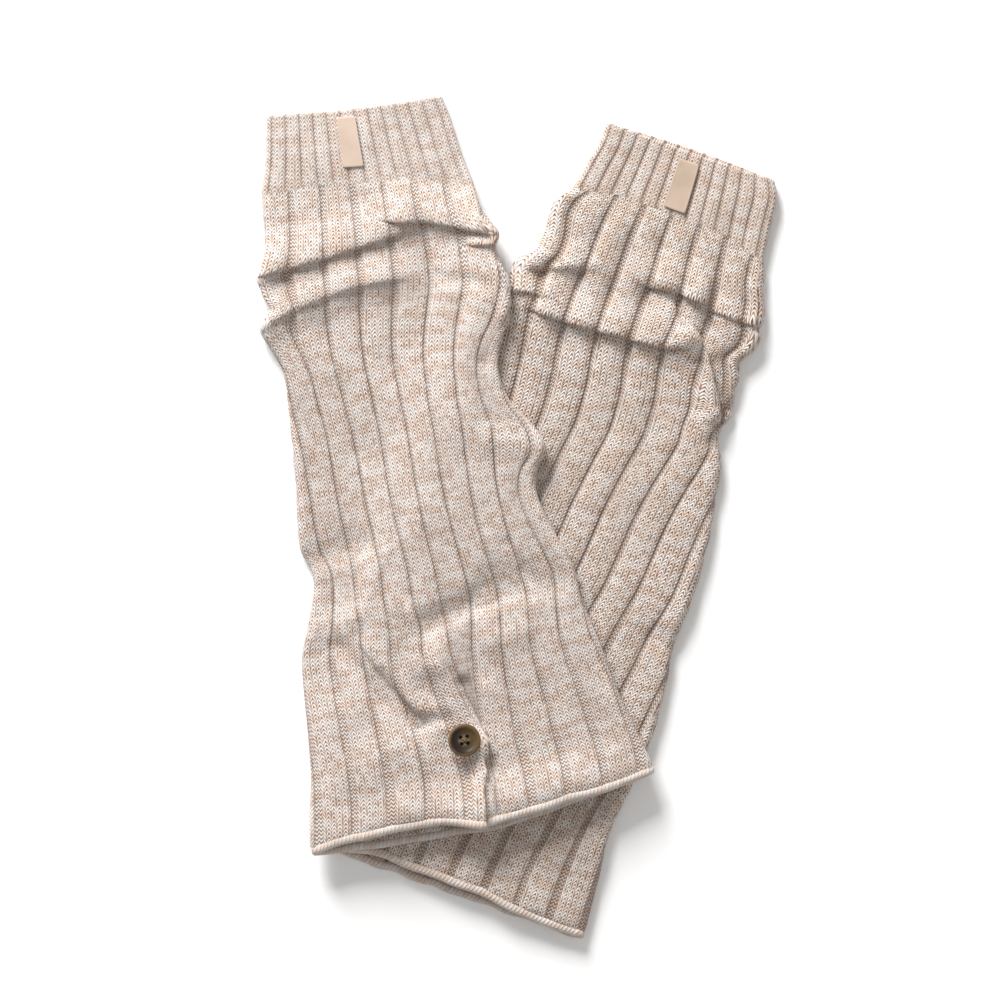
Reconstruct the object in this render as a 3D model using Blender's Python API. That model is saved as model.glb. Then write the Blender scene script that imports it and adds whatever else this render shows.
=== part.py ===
"""A pair of knitted leg warmers, laid flat, the left one resting partly on the right one.

Each leg warmer is a flattened tube of ribbed knit: a narrow-ribbed cuff at the top, a wide-ribbed leg that
slouches in folds below the cuff and flares towards its hem, and a rolled edge.  A small label lies on each
cuff, and a four-hole button on each leg near its hem.  Underneath, the tubes are plain and rest at z = 0.
The left leg warmer ("a") climbs over the side fold of the right one ("b") and lies on top of it.

A tube is worked out from a table of sections.  Every section is a flat ring that runs along the front from
the left side fold to the right one, and back along the underside.  Folds are ridges and troughs laid over
the front in plan, with the hidden layers of a slouch fold as one thick wall.
"""

import math
from typing import NamedTuple

import bmesh
import bpy
import numpy as np

MM = 0.001
SEAM_GAP = 0.3 * MM

# The knit, and a tube's flattened height to the bottom of its rib grooves
WALL = 2.4 * MM
TUBE_HEIGHT = 7.0 * MM
RIM_ROUND = 0.8 * MM          # how far the top edge rounds over
LEG_RIBS = 20
LEG_RIB_RISE = 0.8 * MM
CUFF_RIBS = 26
CUFF_RIB_RISE = 0.7 * MM
CUFF_FIRST_RIB = 0.3          # rib count at a cuff's left side fold
CUFF_FRONT_RIBS = 13.4
RIB_SHARPNESS = 5             # higher is a flatter crest and a narrower groove
RIB_FADE = 0.35               # share of a side fold's radius over which ribs run out, above and below it

# Folds: how much of a crest the inner skin follows, and the share of its length that runs out at each end
FOLD_INSIDE = 0.3
FOLD_END = 0.2

# Columns of points: where they stand in one rib, how many ribs of the ring have them, how they crowd towards
# the side folds underneath, and how much further in the inner skin turns at a side fold
RIB_COLUMNS = (0.0, 0.22, 0.78)
LEG_SHOWN_RIBS = 12
CUFF_SHOWN_RIBS = 15
UNDERSIDE_CROWDING = (0.5, 0.35)
INNER_FOLD_SPACE = 1.5 * MM

# The rolled edge
ROLL_RADIUS = 1.6 * MM
ROLL_SIDES = 6

# How the left leg warmer climbs over the right one, from that one's section COVERED_FROM down, and over its
# button in a low dome
COVERED_FROM = 10
CLIMB_FROM = -32.0 * MM
CLIMB_TO = -7.0 * MM
CLIMB_HEIGHT = TUBE_HEIGHT + LEG_RIB_RISE + 0.5 * MM
DOME_HEIGHT = 3.6 * MM
DOME_FLAT = 12.0 * MM
DOME_FOOT = 34.0 * MM

# Label and button
LABEL_THICK = 0.9 * MM
LABEL_STEPS = (3, 8)
BUTTON_SIDES = 28
BUTTON_PROFILE = (
    # radius, height above the cloth, in mm: underside, raised rim, sunken middle
    (7.0, 0.0),
    (8.6, 0.7),
    (9.0, 1.6),
    (8.7, 2.6),
    (7.9, 3.0),
    (6.9, 2.8),
    (5.8, 2.0),
    (4.6, 1.8),
)
BUTTON_SEAT = 8.0 * MM        # radius of the ring of cloth that the button rests on
BUTTON_HOLE_RADIUS = 0.9 * MM
BUTTON_HOLE_SIDES = 8
BUTTON_HOLE_SPREAD = 1.9 * MM  # from the middle to each hole, along x and y
BUTTON_PIN_LENGTH = 10.0 * MM


class Section(NamedTuple):
    """One ring of a tube, in mm: the ends of its front, and how it bends between them."""

    left_x: float
    left_y: float
    right_x: float
    right_y: float
    bow: float        # how far the middle of the ring lies towards the hem
    back: float       # how far the underside's middle lies beyond the front's, towards the hem
    hem: float        # share of the hem's own line that this ring follows
    rib_left: float   # rib count at the left side fold; a whole number is a groove
    rib_right: float  # rib count at the right side fold
    rows: int         # rows of points from this ring to the next


class Fold(NamedTuple):
    """A crest in plan, in mm.  The cloth rises over `run` on the left of its travel and falls over `drop`."""

    start_x: float
    start_y: float
    end_x: float
    end_y: float
    sag: float     # how far the crest's middle bends towards the drop
    height: float  # below zero for a trough
    run: float
    drop: float
    lean: float    # how far the crest leans out over the drop


class Warmer(NamedTuple):
    """Everything that shapes one leg warmer."""

    name: str
    sections: tuple
    folds: tuple
    front_hem: tuple   # (share across, mm towards the hem) along the upper layer's edge
    back_hem: tuple    # the same for the lower layer's edge
    lies_on_other: bool
    back_columns: int  # columns of points in one rib of the underside
    inner_columns: int  # columns of points round the inside
    label: tuple       # first and last section, first and last share across
    button: tuple      # section, share across


CUFF_END = 3  # the section at which the cuff meets the leg

SECTIONS_A = (
    #        left_x  left_y  right_x right_y  bow  back  hem  rib_l  rib_r  rows
    Section(-138.0,  221.0,  -41.5,  232.0,   1.6,  0.0, 0.0,  0.00,  7.00, 2),
    Section(-138.0,  214.0,  -37.5,  221.5,   1.6,  0.0, 0.0,  0.00,  7.00, 2),
    Section(-138.5,  197.5,  -31.5,  202.5,   1.6,  0.0, 0.0,  0.00,  7.00, 2),
    Section(-140.5,  179.0,  -24.0,  183.5,   1.0,  0.0, 0.0,  0.00,  7.00, 1),
    Section(-140.0,  168.5,  -20.0,  172.0,   0.5,  0.0, 0.0,  0.00,  7.00, 3),
    Section(-138.5,  154.0,  -15.0,  164.5,   0.0,  0.0, 0.0,  0.05,  7.00, 3),
    Section(-140.5,  142.0,  -10.0,  157.0,   0.0,  0.0, 0.0,  0.10,  7.05, 2),
    Section(-142.5,  132.5,  -12.0,  149.0,   0.0,  0.0, 0.0,  0.10,  7.05, 1),
    Section(-140.5,  126.5,  -10.5,  142.5,   0.0,  0.0, 0.0,  0.10,  7.10, 1),
    Section(-138.5,  121.5,   -7.5,  136.5,   0.0,  0.0, 0.0,  0.15,  7.10, 1),
    Section(-136.0,  117.0,   -5.0,  130.5,   0.0,  0.0, 0.0,  0.20,  7.20, 1),
    Section(-140.5,  110.5,   -4.5,  119.5,   0.0,  0.0, 0.0,  0.20,  7.30, 1),
    Section(-141.5,  103.5,   -5.5,  108.5,   0.0,  0.0, 0.0,  0.25,  7.40, 1),
    Section(-137.0,   95.5,   -9.0,   99.0,   0.0,  0.0, 0.0,  0.25,  7.45, 1),
    Section(-131.0,   86.5,  -11.0,   90.0,   0.0,  0.0, 0.0,  0.25,  7.50, 1),
    Section(-127.5,   76.5,  -10.5,   80.5,   0.5,  0.0, 0.0,  0.25,  7.50, 1),
    Section(-125.5,   61.0,   -4.5,   64.5,   1.0,  0.0, 0.0,  0.10,  8.00, 1),
    Section(-124.0,   48.0,    8.0,   51.5,   1.0,  0.0, 0.0,  0.00,  8.60, 1),
    Section(-123.0,   36.5,   15.0,   38.0,   1.5,  0.0, 0.0, -0.05,  9.20, 1),
    Section(-122.0,   25.0,   10.0,   26.0,   2.0,  0.0, 0.0, -0.10,  9.40, 1),
    Section(-121.0,   10.5,   10.5,   12.5,   2.5,  0.0, 0.0, -0.15,  9.50, 1),
    Section(-120.5,   -6.0,   18.5,   -5.0,   3.0,  0.0, 0.0, -0.20,  9.75, 1),
    Section(-118.5,  -18.5,   25.0,  -15.5,   3.0,  0.0, 0.0, -0.20,  9.90, 1),
    Section(-113.0,  -28.5,   29.0,  -23.0,   3.5,  0.0, 0.0, -0.20,  9.95, 1),
    Section(-111.5,  -38.5,   31.5,  -30.5,   4.0,  0.0, 0.0, -0.15, 10.00, 1),
    Section(-114.5,  -55.5,   34.5,  -43.0,   4.0,  0.0, 0.0, -0.10, 10.10, 1),
    Section(-118.5,  -75.5,   40.5,  -58.0,   4.0,  0.0, 0.0, -0.10, 10.30, 1),
    Section(-117.5,  -94.0,   46.0,  -71.5,   4.0,  0.0, 0.0, -0.10, 10.55, 1),
    Section(-115.0, -116.0,   52.0,  -88.0,   4.0,  0.0, 0.0, -0.15, 10.70, 1),
    Section(-113.0, -143.5,   61.0, -108.5,   3.0,  0.0, 0.2, -0.30, 10.75, 1),
    Section(-113.5, -163.5,   68.0, -123.0,   1.0,  0.0, 0.6, -0.45, 10.80, 1),
    Section(-113.5, -181.0,   74.0, -136.0,   0.0,  0.0, 1.0, -0.55, 10.80, 1),
)

SECTIONS_B = (
    #        left_x  left_y  right_x right_y  bow  back  hem  rib_l  rib_r  rows
    Section(  49.0,  217.5,  141.5,  185.5,   0.8, -2.5, 0.0,  0.35,  7.55, 2),
    Section(  45.5,  208.0,  142.5,  175.5,   0.8, -1.0, 0.0,  0.35,  7.55, 2),
    Section(  39.0,  197.0,  139.0,  160.0,   0.8,  0.0, 0.0,  0.35,  7.55, 2),
    Section(  31.0,  183.0,  135.5,  142.5,   0.5,  0.0, 0.0,  0.35,  7.55, 1),
    Section(  24.5,  178.5,  134.5,  135.5,   0.0,  0.0, 0.0,  0.35,  7.55, 2),
    Section(  20.0,  171.0,  133.0,  127.0,   0.0,  0.0, 0.0,  0.35,  7.55, 2),
    Section(  17.5,  159.0,  133.5,  117.5,   0.0,  0.0, 0.0,  0.30,  7.55, 2),
    Section(  13.0,  150.5,  133.0,  110.5,   0.0,  0.0, 0.0,  0.25,  7.55, 1),
    Section(   4.5,  145.0,  131.5,  105.0,   0.0,  0.0, 0.0,  0.20,  7.50, 1),
    Section(  -1.5,  138.0,  132.5,   99.5,   0.0,  0.0, 0.0,  0.15,  7.50, 1),
    Section(  -3.5,  130.0,  129.0,   93.0,   0.0,  0.0, 0.0,  0.10,  7.50, 1),
    Section(  -7.0,  121.5,  121.5,   87.0,   0.0,  0.0, 0.0,  0.05,  7.50, 1),
    Section( -10.0,  113.5,  120.0,   77.5,   0.0,  0.0, 0.0,  0.00,  7.50, 2),
    Section( -13.5,  102.5,  118.0,   66.5,   0.0,  0.0, 0.0, -0.05,  7.45, 1),
    Section( -17.5,   90.0,  117.0,   57.0,   0.0,  0.0, 0.0, -0.10,  7.45, 1),
    Section( -20.5,   78.0,  110.0,   47.0,   0.0,  0.0, 0.0, -0.15,  7.45, 1),
    Section( -24.5,   66.0,  110.5,   37.0,   0.0,  0.0, 0.0, -0.15,  7.45, 1),
    Section( -28.5,   53.5,  111.0,   26.0,   0.0,  0.0, 0.0, -0.10,  7.70, 1),
    Section( -32.0,   40.0,  109.0,   13.0,   0.0,  0.0, 0.0, -0.05,  8.00, 1),
    Section( -37.0,   24.0,  106.5,   -2.5,   0.0,  0.0, 0.0,  0.05,  8.30, 1),
    Section( -42.5,    6.5,  102.0,  -21.5,   0.0,  0.0, 0.0,  0.15,  8.50, 1),
    Section( -49.0,  -15.5,   94.5,  -47.0,   0.0,  0.0, 0.0,  0.40,  8.65, 1),
    Section( -56.0,  -37.5,   85.5,  -69.5,   0.0,  0.0, 0.0,  0.75,  8.90, 1),
    Section( -61.0,  -54.0,   83.0,  -85.0,   0.0,  0.0, 0.0,  1.00,  9.10, 1),
    Section( -65.5,  -70.5,   78.5, -102.0,   0.0,  0.0, 0.0,  1.25,  9.30, 1),
    Section( -72.0,  -91.0,   71.0, -127.0,   0.0,  0.0, 0.0,  1.55,  9.50, 1),
    Section( -78.5, -112.0,   61.0, -149.5,   0.0,  0.0, 0.0,  1.85,  9.70, 1),
    Section( -85.0, -132.5,   51.0, -170.5,   0.0,  0.0, 0.1,  2.10,  9.90, 1),
    Section( -93.0, -154.5,   45.5, -193.5,   0.0,  0.0, 0.5,  2.35, 10.10, 1),
    Section(-101.5, -179.5,   36.5, -228.5,   0.0,  0.0, 1.0,  2.50, 10.20, 1),
)

FOLDS_A = (
    #     start_x start_y  end_x   end_y   sag  height run  drop lean
    Fold(-146.0,  137.0,  -58.0,  162.0,   2.5,  5.0, 16.0,  6.0, 3.0),  # lower slouch fold
    Fold( -99.0,  157.0,  -13.0,  154.0,  -8.5,  5.5, 15.0,  6.0, 3.0),  # upper slouch fold
    Fold(-146.0,  112.0,  -60.0,  133.0,  -5.0,  3.6, 12.0,  9.0, 1.5),  # soft ridge under them
    Fold( -24.0,  176.0,   -9.0,  148.0,   0.0,  2.5,  7.0,  5.0, 0.5),  # crumple at the right side
    Fold( -12.0,  146.0,   -8.0,  106.0,  -2.0,  2.0,  8.0,  6.0, 0.0),  # roll along the right side
    Fold(   0.0,   90.0,  -42.0,   97.0,   0.0, -1.5, 11.0, 11.0, 0.0),  # pinch at the right side
    Fold( -24.0,   46.0,   22.0,   38.0,   0.0,  2.0, 15.0, 13.0, 0.0),  # bulge at the right side
    Fold(-122.0,  -31.0,  -84.0,  -47.0,   0.0, -1.5, 10.0, 10.0, 0.0),  # pinch at the left side
    Fold( -76.0,  -18.0,  -68.0,  -62.0,   0.0,  1.3, 10.0, 10.0, 0.0),
    Fold( -96.0,  -70.0,  -40.0, -114.0,   3.0, -1.4,  9.0,  9.0, 0.0),  # drag line to the button
    Fold( -14.0, -192.0,  -42.0,  -72.0,   7.0,  2.4, 17.0,  3.5, 1.5),  # lap that the button holds
    Fold( -12.0,   -6.0,   14.0,  -44.0,   0.0, -1.3, 10.0, 10.0, 0.0),
)

FOLDS_B = (
    #     start_x start_y  end_x   end_y   sag  height run  drop lean
    Fold(   0.0,  120.0,   99.0,   92.0,   0.0,  5.5, 15.0,  6.0, 3.0),  # main slouch fold
    Fold(  12.0,  147.0,  114.0,  112.0,   1.0,  3.6, 12.0,  8.0, 2.0),  # slouch fold above it
    Fold(  -3.0,  128.0,   22.0,  128.0,   0.0,  2.6,  8.0,  5.0, 1.0),  # lobe at the left side
    Fold( 105.0,  117.0,  112.0,   46.0,   0.0,  2.8, 10.0,  5.0, 1.5),  # upright fold at the right side
    Fold( 104.0,   52.0,  122.0,   66.0,   0.0, -1.2,  8.0,  8.0, 0.0),
    Fold(  70.0,  -60.0,   96.0,  -78.0,   0.0, -1.2, 10.0, 10.0, 0.0),
)

WARMERS = (
    Warmer(
        name="b",
        sections=SECTIONS_B,
        folds=FOLDS_B,
        front_hem=((0.0, 0.0), (0.12, -5.5), (0.3, -5.0), (0.45, -5.5), (0.6, -4.0), (0.8, -1.5), (1.0, 0.0)),
        back_hem=((0.0, 0.0), (1.0, 0.0)),
        lies_on_other=False,
        back_columns=2,
        inner_columns=18,
        label=(0.62, 2.55, 0.455, 0.56),
        button=(27.1, 0.14),
    ),
    Warmer(
        name="a",
        sections=SECTIONS_A,
        folds=FOLDS_A,
        front_hem=((0.0, 0.0), (0.2, -2.4), (0.4, 0.5), (0.52, 6.0), (0.66, 4.4), (0.8, 3.0), (1.0, 0.0)),
        back_hem=((0.0, 0.0), (0.1, 3.0), (0.3, 6.4), (0.5, 9.5), (0.66, 8.5), (0.8, 4.8), (1.0, 0.0)),
        lies_on_other=True,
        back_columns=3,
        inner_columns=30,
        label=(0.42, 2.25, 0.39, 0.495),
        button=(28.6, 0.489),
    ),
)

# Looks
SHARP_ANGLE = math.radians(50)
KNIT_COLOUR = (0.72, 0.62, 0.53)
CUFF_COLOUR = (0.70, 0.59, 0.50)
ROLL_COLOUR = (0.78, 0.70, 0.62)
LABEL_COLOUR = (0.80, 0.60, 0.46)
BUTTON_COLOUR = (0.13, 0.085, 0.04)


def smooth_step(value):
    """Ease from 0 to 1 as `value` goes from 0 to 1."""
    value = np.clip(value, 0.0, 1.0)
    return value * value * (3.0 - 2.0 * value)


def section_at(sections, place):
    """A ring of the tube at a place between two sections, on a smooth curve through all of them."""
    table = np.array(sections, dtype=float)
    first = min(int(place), len(table) - 2)
    before, here, after, beyond = (table[min(max(first + step, 0), len(table) - 1)] for step in (-1, 0, 1, 2))
    t = place - first
    pull_out, pull_in = (after - before) / 2, (beyond - here) / 2
    return (
        (2 * t**3 - 3 * t**2 + 1) * here
        + (t**3 - 2 * t**2 + t) * pull_out
        + (3 * t**2 - 2 * t**3) * after
        + (t**3 - t**2) * pull_in
    )


def rows_between(sections, first, last):
    """All rings of points from one section to another, one table row each."""
    places = []
    for index in range(first, last):
        places += [index + step / sections[index].rows for step in range(sections[index].rows)]
    return np.array([section_at(sections, place) for place in places + [last]])


def fold_shape(x, y, folds):
    """Rise of the cloth over all the folds at points in plan, and how far it leans in x and in y."""
    rise, lean_x, lean_y = np.zeros_like(x), np.zeros_like(x), np.zeros_like(x)
    for fold in folds:
        chord_x, chord_y = (fold.end_x - fold.start_x) * MM, (fold.end_y - fold.start_y) * MM
        length = math.hypot(chord_x, chord_y)
        from_x, from_y = x - fold.start_x * MM, y - fold.start_y * MM
        along = (from_x * chord_x + from_y * chord_y) / length**2
        aside = (from_x * chord_y - from_y * chord_x) / length
        beyond_crest = aside - fold.sag * MM * 4 * along * (1 - along)
        reach = np.where(beyond_crest < 0, fold.run, fold.drop) * MM
        hump = 0.5 + 0.5 * np.cos(math.pi * np.clip(beyond_crest / reach, -1, 1))
        hump = hump * smooth_step(along / FOLD_END) * smooth_step((1 - along) / FOLD_END)
        rise += fold.height * MM * hump
        lean_x += fold.lean * MM * hump * chord_y / length
        lean_y -= fold.lean * MM * hump * chord_x / length
    return rise, lean_x, lean_y


def climb(x, y):
    """How high the upper leg warmer is lifted by what lies beneath it."""
    lower = WARMERS[0]
    top, bottom = lower.sections[COVERED_FROM], lower.sections[-1]
    run_x, run_y = bottom.left_x - top.left_x, bottom.left_y - top.left_y
    length = math.hypot(run_x, run_y)
    inside = ((y - top.left_y * MM) * run_x - (x - top.left_x * MM) * run_y) / length
    button_x, button_y, _ = front_point(lower, *lower.button)
    from_button = np.hypot(x - button_x, y - button_y)
    dome = smooth_step((DOME_FOOT - from_button) / (DOME_FOOT - DOME_FLAT))
    return CLIMB_HEIGHT * smooth_step((inside - CLIMB_FROM) / (CLIMB_TO - CLIMB_FROM)) + DOME_HEIGHT * dome


def ring_points(warmer, rows, share, inset, relief):
    """Points round flat rings, before folds and lift.

    `share` runs from 0 to 1 along the front from the left side fold to the right one, and on to 2 back
    along the underside.  A ring is a stadium: two straight runs joined by half circles.  `inset` moves it
    in from the skin, and `relief` moves its points out, at the top only.  Gives the points, the direction
    that faces out of the ring, the direction towards the hem, and how much each point belongs to the top.
    """
    left, right = rows[:, None, 0:2] * MM, rows[:, None, 2:4] * MM
    width = np.linalg.norm(right - left, axis=2)
    across = (right - left) / width[..., None]
    down = np.stack([across[..., 1], -across[..., 0]], axis=2)
    radius = TUBE_HEIGHT / 2 - inset
    quarter = radius * math.pi / 2
    flat = width - TUBE_HEIGHT
    front = share <= 1
    travel = np.where(front, share, 2 - share) * (flat + 2 * quarter)
    turn = (np.clip(quarter - travel, 0, None) - np.clip(travel - quarter - flat, 0, None)) / radius
    out_across = -np.sin(turn)
    out_up = np.where(front, 1, -1) * np.cos(turn)
    top = smooth_step((out_up + RIB_FADE) / (2 * RIB_FADE))
    offset = TUBE_HEIGHT / 2 + np.clip(travel - quarter, 0, flat) + out_across * (radius + relief * top)
    level = np.clip(offset / width, 0, 1)
    front_line = np.interp(level, *np.transpose(warmer.front_hem))
    back_line = np.interp(level, *np.transpose(warmer.back_hem))
    bow, back, hem = rows[:, 4:5], rows[:, 5:6], rows[:, 6:7]
    towards_hem = bow * 4 * level * (1 - level) + hem * np.where(front, front_line, back_line)
    towards_hem += np.where(front, 0, back * np.sin(math.pi * level))
    plan = left + across * offset[..., None] + down * (towards_hem * MM)[..., None]
    height = TUBE_HEIGHT / 2 + out_up * (radius + relief * top)
    points = np.concatenate([plan, height[..., None]], axis=2)
    outward = np.concatenate([across * out_across[..., None], out_up[..., None]], axis=2)
    down = np.concatenate([down, np.zeros_like(down[..., :1])], axis=2)
    return points, outward, down, top


def settle(warmer, points, top, inside=False):
    """Lay points in their folds, and on the other leg warmer where it lies beneath.

    Inside a fold the wall is thick: the inner skin follows troughs fully, and crests only a little.
    """
    x, y, z = points[..., 0], points[..., 1], points[..., 2]
    rise, lean_x, lean_y = fold_shape(x, y, warmer.folds)
    if inside:
        rise = np.minimum(rise, 0) + FOLD_INSIDE * np.maximum(rise, 0)
        lean_x, lean_y = np.zeros_like(x), np.zeros_like(x)
    x, y, z = x + lean_x * top, y + lean_y * top, z + rise * top
    if warmer.lies_on_other:
        z = z + climb(x, y)
    return np.stack([x, y, z], axis=-1)


def share_across(section, level):
    """The share along a ring's front that stands at a level across its width."""
    width = math.hypot(section[2] - section[0], section[3] - section[1]) * MM
    quarter = TUBE_HEIGHT / 2 * math.pi / 2
    return (level * width - TUBE_HEIGHT / 2 + quarter) / (width - TUBE_HEIGHT + 2 * quarter)


def front_point(warmer, place, level):
    """A point on the front of a leg warmer's ribs, before folds and lift."""
    row = section_at(warmer.sections, place)
    share = np.array([[share_across(row, level)]])
    points, _, _, _ = ring_points(warmer, row[None, :], share, 0.0, LEG_RIB_RISE)
    return points[0, 0]


def rib_height(count):
    """Height of the knit over a rib, from 0 in the groove at a whole number to 1 on the crest."""
    from_groove = np.abs(count - np.round(count))
    return 1 - (1 - 2 * from_groove) ** RIB_SHARPNESS


def rib_columns(ribs, shown, back_columns):
    """Rib counts of the columns of points round a ring: set by the ribs that show, even underneath."""
    columns = [rib + part for rib in range(-1, shown - 1) for part in RIB_COLUMNS]
    under = (ribs - shown) * back_columns
    return np.array(columns + [shown - 1 + step / back_columns for step in range(under)])


def rib_shares(columns, ribs, rib_left, rib_right):
    """Where each column stands round each ring, crowded towards the side folds on the underside."""
    beyond = (columns[None, :] - rib_left[:, None]) % ribs
    span = (rib_right - rib_left)[:, None]
    behind = beyond_fold = (beyond - span) / (ribs - span)
    for wave, crowding in enumerate(UNDERSIDE_CROWDING, 1):
        behind = behind - crowding * np.sin(2 * math.pi * wave * beyond_fold) / (2 * math.pi * wave)
    return np.where(beyond <= span, beyond / span, 1 + behind)


def inner_shares(rows, columns):
    """Where the columns of the plain inner skin stand: even, with one at each side fold."""
    return np.tile(2 * np.arange(columns) / columns, (rows, 1))


def pulled_in(rows):
    """The same rings with their side folds a little nearer each other, for the inner skin."""
    rows = rows.copy()
    across = rows[:, 2:4] - rows[:, 0:2]
    across = across / np.linalg.norm(across, axis=1, keepdims=True) * INNER_FOLD_SPACE / MM
    rows[:, 0:2] += across
    rows[:, 2:4] -= across
    return rows


def add_rim(faces, outer, inner, outer_share, inner_share, turned):
    """Close the wall's end: walk along two rings of different counts and join them with triangles."""
    outer = [outer[index] for index in np.argsort(outer_share)]
    inner = [inner[index] for index in np.argsort(inner_share)]
    outer_share, inner_share = np.sort(outer_share), np.sort(inner_share)
    i = j = 0
    while i < len(outer) or j < len(inner):
        next_outer = outer_share[(i + 1) % len(outer)] + 2 * ((i + 1) // len(outer))
        next_inner = inner_share[(j + 1) % len(inner)] + 2 * ((j + 1) // len(inner))
        here_outer, here_inner = outer[i % len(outer)], inner[j % len(inner)]
        if j >= len(inner) or (i < len(outer) and next_outer <= next_inner):
            i += 1
            face = (here_outer, outer[i % len(outer)], here_inner)
        else:
            j += 1
            face = (here_outer, inner[j % len(inner)], here_inner)
        faces.append(face[::-1] if turned else face)


def outer_faces(rows, columns):
    """Quads of a tube's ribbed skin, whose rings start at index 0."""
    faces = []
    for row in range(rows - 1):
        for column in range(columns):
            beside = (column + 1) % columns
            top, low = row * columns, (row + 1) * columns
            faces.append((top + column, low + column, low + beside, top + beside))
    return faces


def inner_faces(rows, columns, first):
    """Triangles of a tube's plain inside, split along the same diagonal over and under the hollow."""
    faces = []
    for row in range(rows - 1):
        for column in range(columns):
            beside = (column + 1) % columns
            top, low = first + row * columns, first + (row + 1) * columns
            a, b, c, d = top + column, low + column, low + beside, top + beside
            over = column < columns / 2
            faces += [(c, b, a), (d, c, a)] if over else [(d, b, a), (d, c, b)]
    return faces


def make_object(name, vertices, faces, colour, roughness=0.95):
    """Turn points and faces into a named object with its own material."""
    mesh = bpy.data.meshes.new(name)
    mesh.from_pydata([tuple(map(float, vertex)) for vertex in vertices], [], faces)
    model = bmesh.new()
    model.from_mesh(mesh)
    bmesh.ops.recalc_face_normals(model, faces=model.faces)
    model.to_mesh(mesh)
    model.free()
    mesh.shade_smooth()
    mesh.set_sharp_from_angle(angle=SHARP_ANGLE)
    material = bpy.data.materials.new(name)
    material.use_nodes = True
    shader = material.node_tree.nodes["Principled BSDF"]
    shader.inputs["Base Color"].default_value = (*colour, 1.0)
    shader.inputs["Roughness"].default_value = roughness
    shader.inputs["Metallic"].default_value = 0.0
    mesh.materials.append(material)
    thing = bpy.data.objects.new(name, mesh)
    bpy.context.scene.collection.objects.link(thing)
    return thing


def make_tube(warmer, name, rows, ribs, shown, rise, ends, colour, rounded_top=False):
    """A ribbed tube with a wall: raised ribs outside, plain inside, rims closed at both ends.

    `ends` moves the first and last rings towards the hem, to leave a gap at the seam.  The ribs run out at
    a seam, and go over a rounded edge.
    """
    inner_columns = warmer.inner_columns
    columns = rib_columns(ribs, shown, warmer.back_columns)
    shares = rib_shares(columns, ribs, rows[:, 7], rows[:, 8])
    relief = rise * np.broadcast_to(rib_height(columns), shares.shape).copy()
    relief[-1] = 0
    if not rounded_top:
        relief[0] = 0
    outer, _, down, top = ring_points(warmer, rows, shares, 0.0, relief)
    inner_share = inner_shares(len(rows), inner_columns)
    inner, _, _, inner_top = ring_points(warmer, pulled_in(rows), inner_share, WALL, 0.0)
    for ring, move in zip((0, -1), ends):
        outer[ring] += down[ring] * move
        inner[ring] += down[ring] * move
    if rounded_top:
        rim, _, _, rim_top = ring_points(warmer, rows[:1], shares[:1], WALL / 2, 0.0)
        outer = np.concatenate([rim - down[:1] * RIM_ROUND, outer])
        top = np.concatenate([rim_top, top])
        shares = np.concatenate([shares[:1], shares])
    outer = settle(warmer, outer, top)
    inner = settle(warmer, inner, inner_top, inside=True)
    count, width = shares.shape
    first_inner = count * width
    faces = outer_faces(count, width)
    faces += inner_faces(len(rows), inner_columns, first_inner)
    last_inner = first_inner + (len(rows) - 1) * inner_columns
    rings = ((0, first_inner, 0, True), ((count - 1) * width, last_inner, -1, False))
    for outer_start, inner_start, ring, turned in rings:
        outer_ring = range(outer_start, outer_start + width)
        inner_ring = range(inner_start, inner_start + inner_columns)
        add_rim(faces, outer_ring, inner_ring, shares[ring], inner_share[ring], turned)
    vertices = np.concatenate([outer.reshape(-1, 3), inner.reshape(-1, 3)])
    return make_object(name, vertices, faces, colour)


def make_cuff(warmer):
    """The narrow-ribbed cuff, with a rounded top edge."""
    name = f"cuff_{warmer.name}"
    rows = rows_between(warmer.sections, 0, CUFF_END)
    rows[:, 7], rows[:, 8] = CUFF_FIRST_RIB, CUFF_FIRST_RIB + CUFF_FRONT_RIBS
    ends = (0.0, -SEAM_GAP / 2)
    return make_tube(warmer, name, rows, CUFF_RIBS, CUFF_SHOWN_RIBS, CUFF_RIB_RISE, ends, CUFF_COLOUR, True)


def make_leg(warmer):
    """The wide-ribbed leg with its slouch folds."""
    name = f"leg_{warmer.name}"
    rows = rows_between(warmer.sections, CUFF_END, len(warmer.sections) - 1)
    ends = (SEAM_GAP / 2, 0.0)
    return make_tube(warmer, name, rows, LEG_RIBS, LEG_SHOWN_RIBS, LEG_RIB_RISE, ends, KNIT_COLOUR)


def make_hem(warmer):
    """The rolled edge: a thin tube round the leg's lower rim, flat where it meets the ground."""
    row = np.array(warmer.sections[-1:], dtype=float)
    columns = rib_columns(LEG_RIBS, LEG_SHOWN_RIBS, warmer.back_columns)
    share = rib_shares(columns, LEG_RIBS, row[:, 7], row[:, 8])
    flat_side = ROLL_RADIUS * math.cos(math.pi / ROLL_SIDES)
    centre, outward, down, top = ring_points(warmer, row, share, flat_side, 0.0)
    centre = settle(warmer, centre + down * (ROLL_RADIUS + SEAM_GAP), top)
    rings = []
    for angle in 2 * math.pi * np.arange(ROLL_SIDES) / ROLL_SIDES:
        rings.append((centre + ROLL_RADIUS * (down * math.cos(angle) + outward * math.sin(angle)))[0])
    vertices = np.stack(rings, axis=1).reshape(-1, 3)
    faces = []
    for point in range(len(columns)):
        beside = (point + 1) % len(columns)
        for side in range(ROLL_SIDES):
            above = (side + 1) % ROLL_SIDES
            corners = (point, side), (beside, side), (beside, above), (point, above)
            faces.append(tuple(index * ROLL_SIDES + place for index, place in corners))
    return make_object(f"hem_{warmer.name}", vertices, faces, ROLL_COLOUR)


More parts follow.
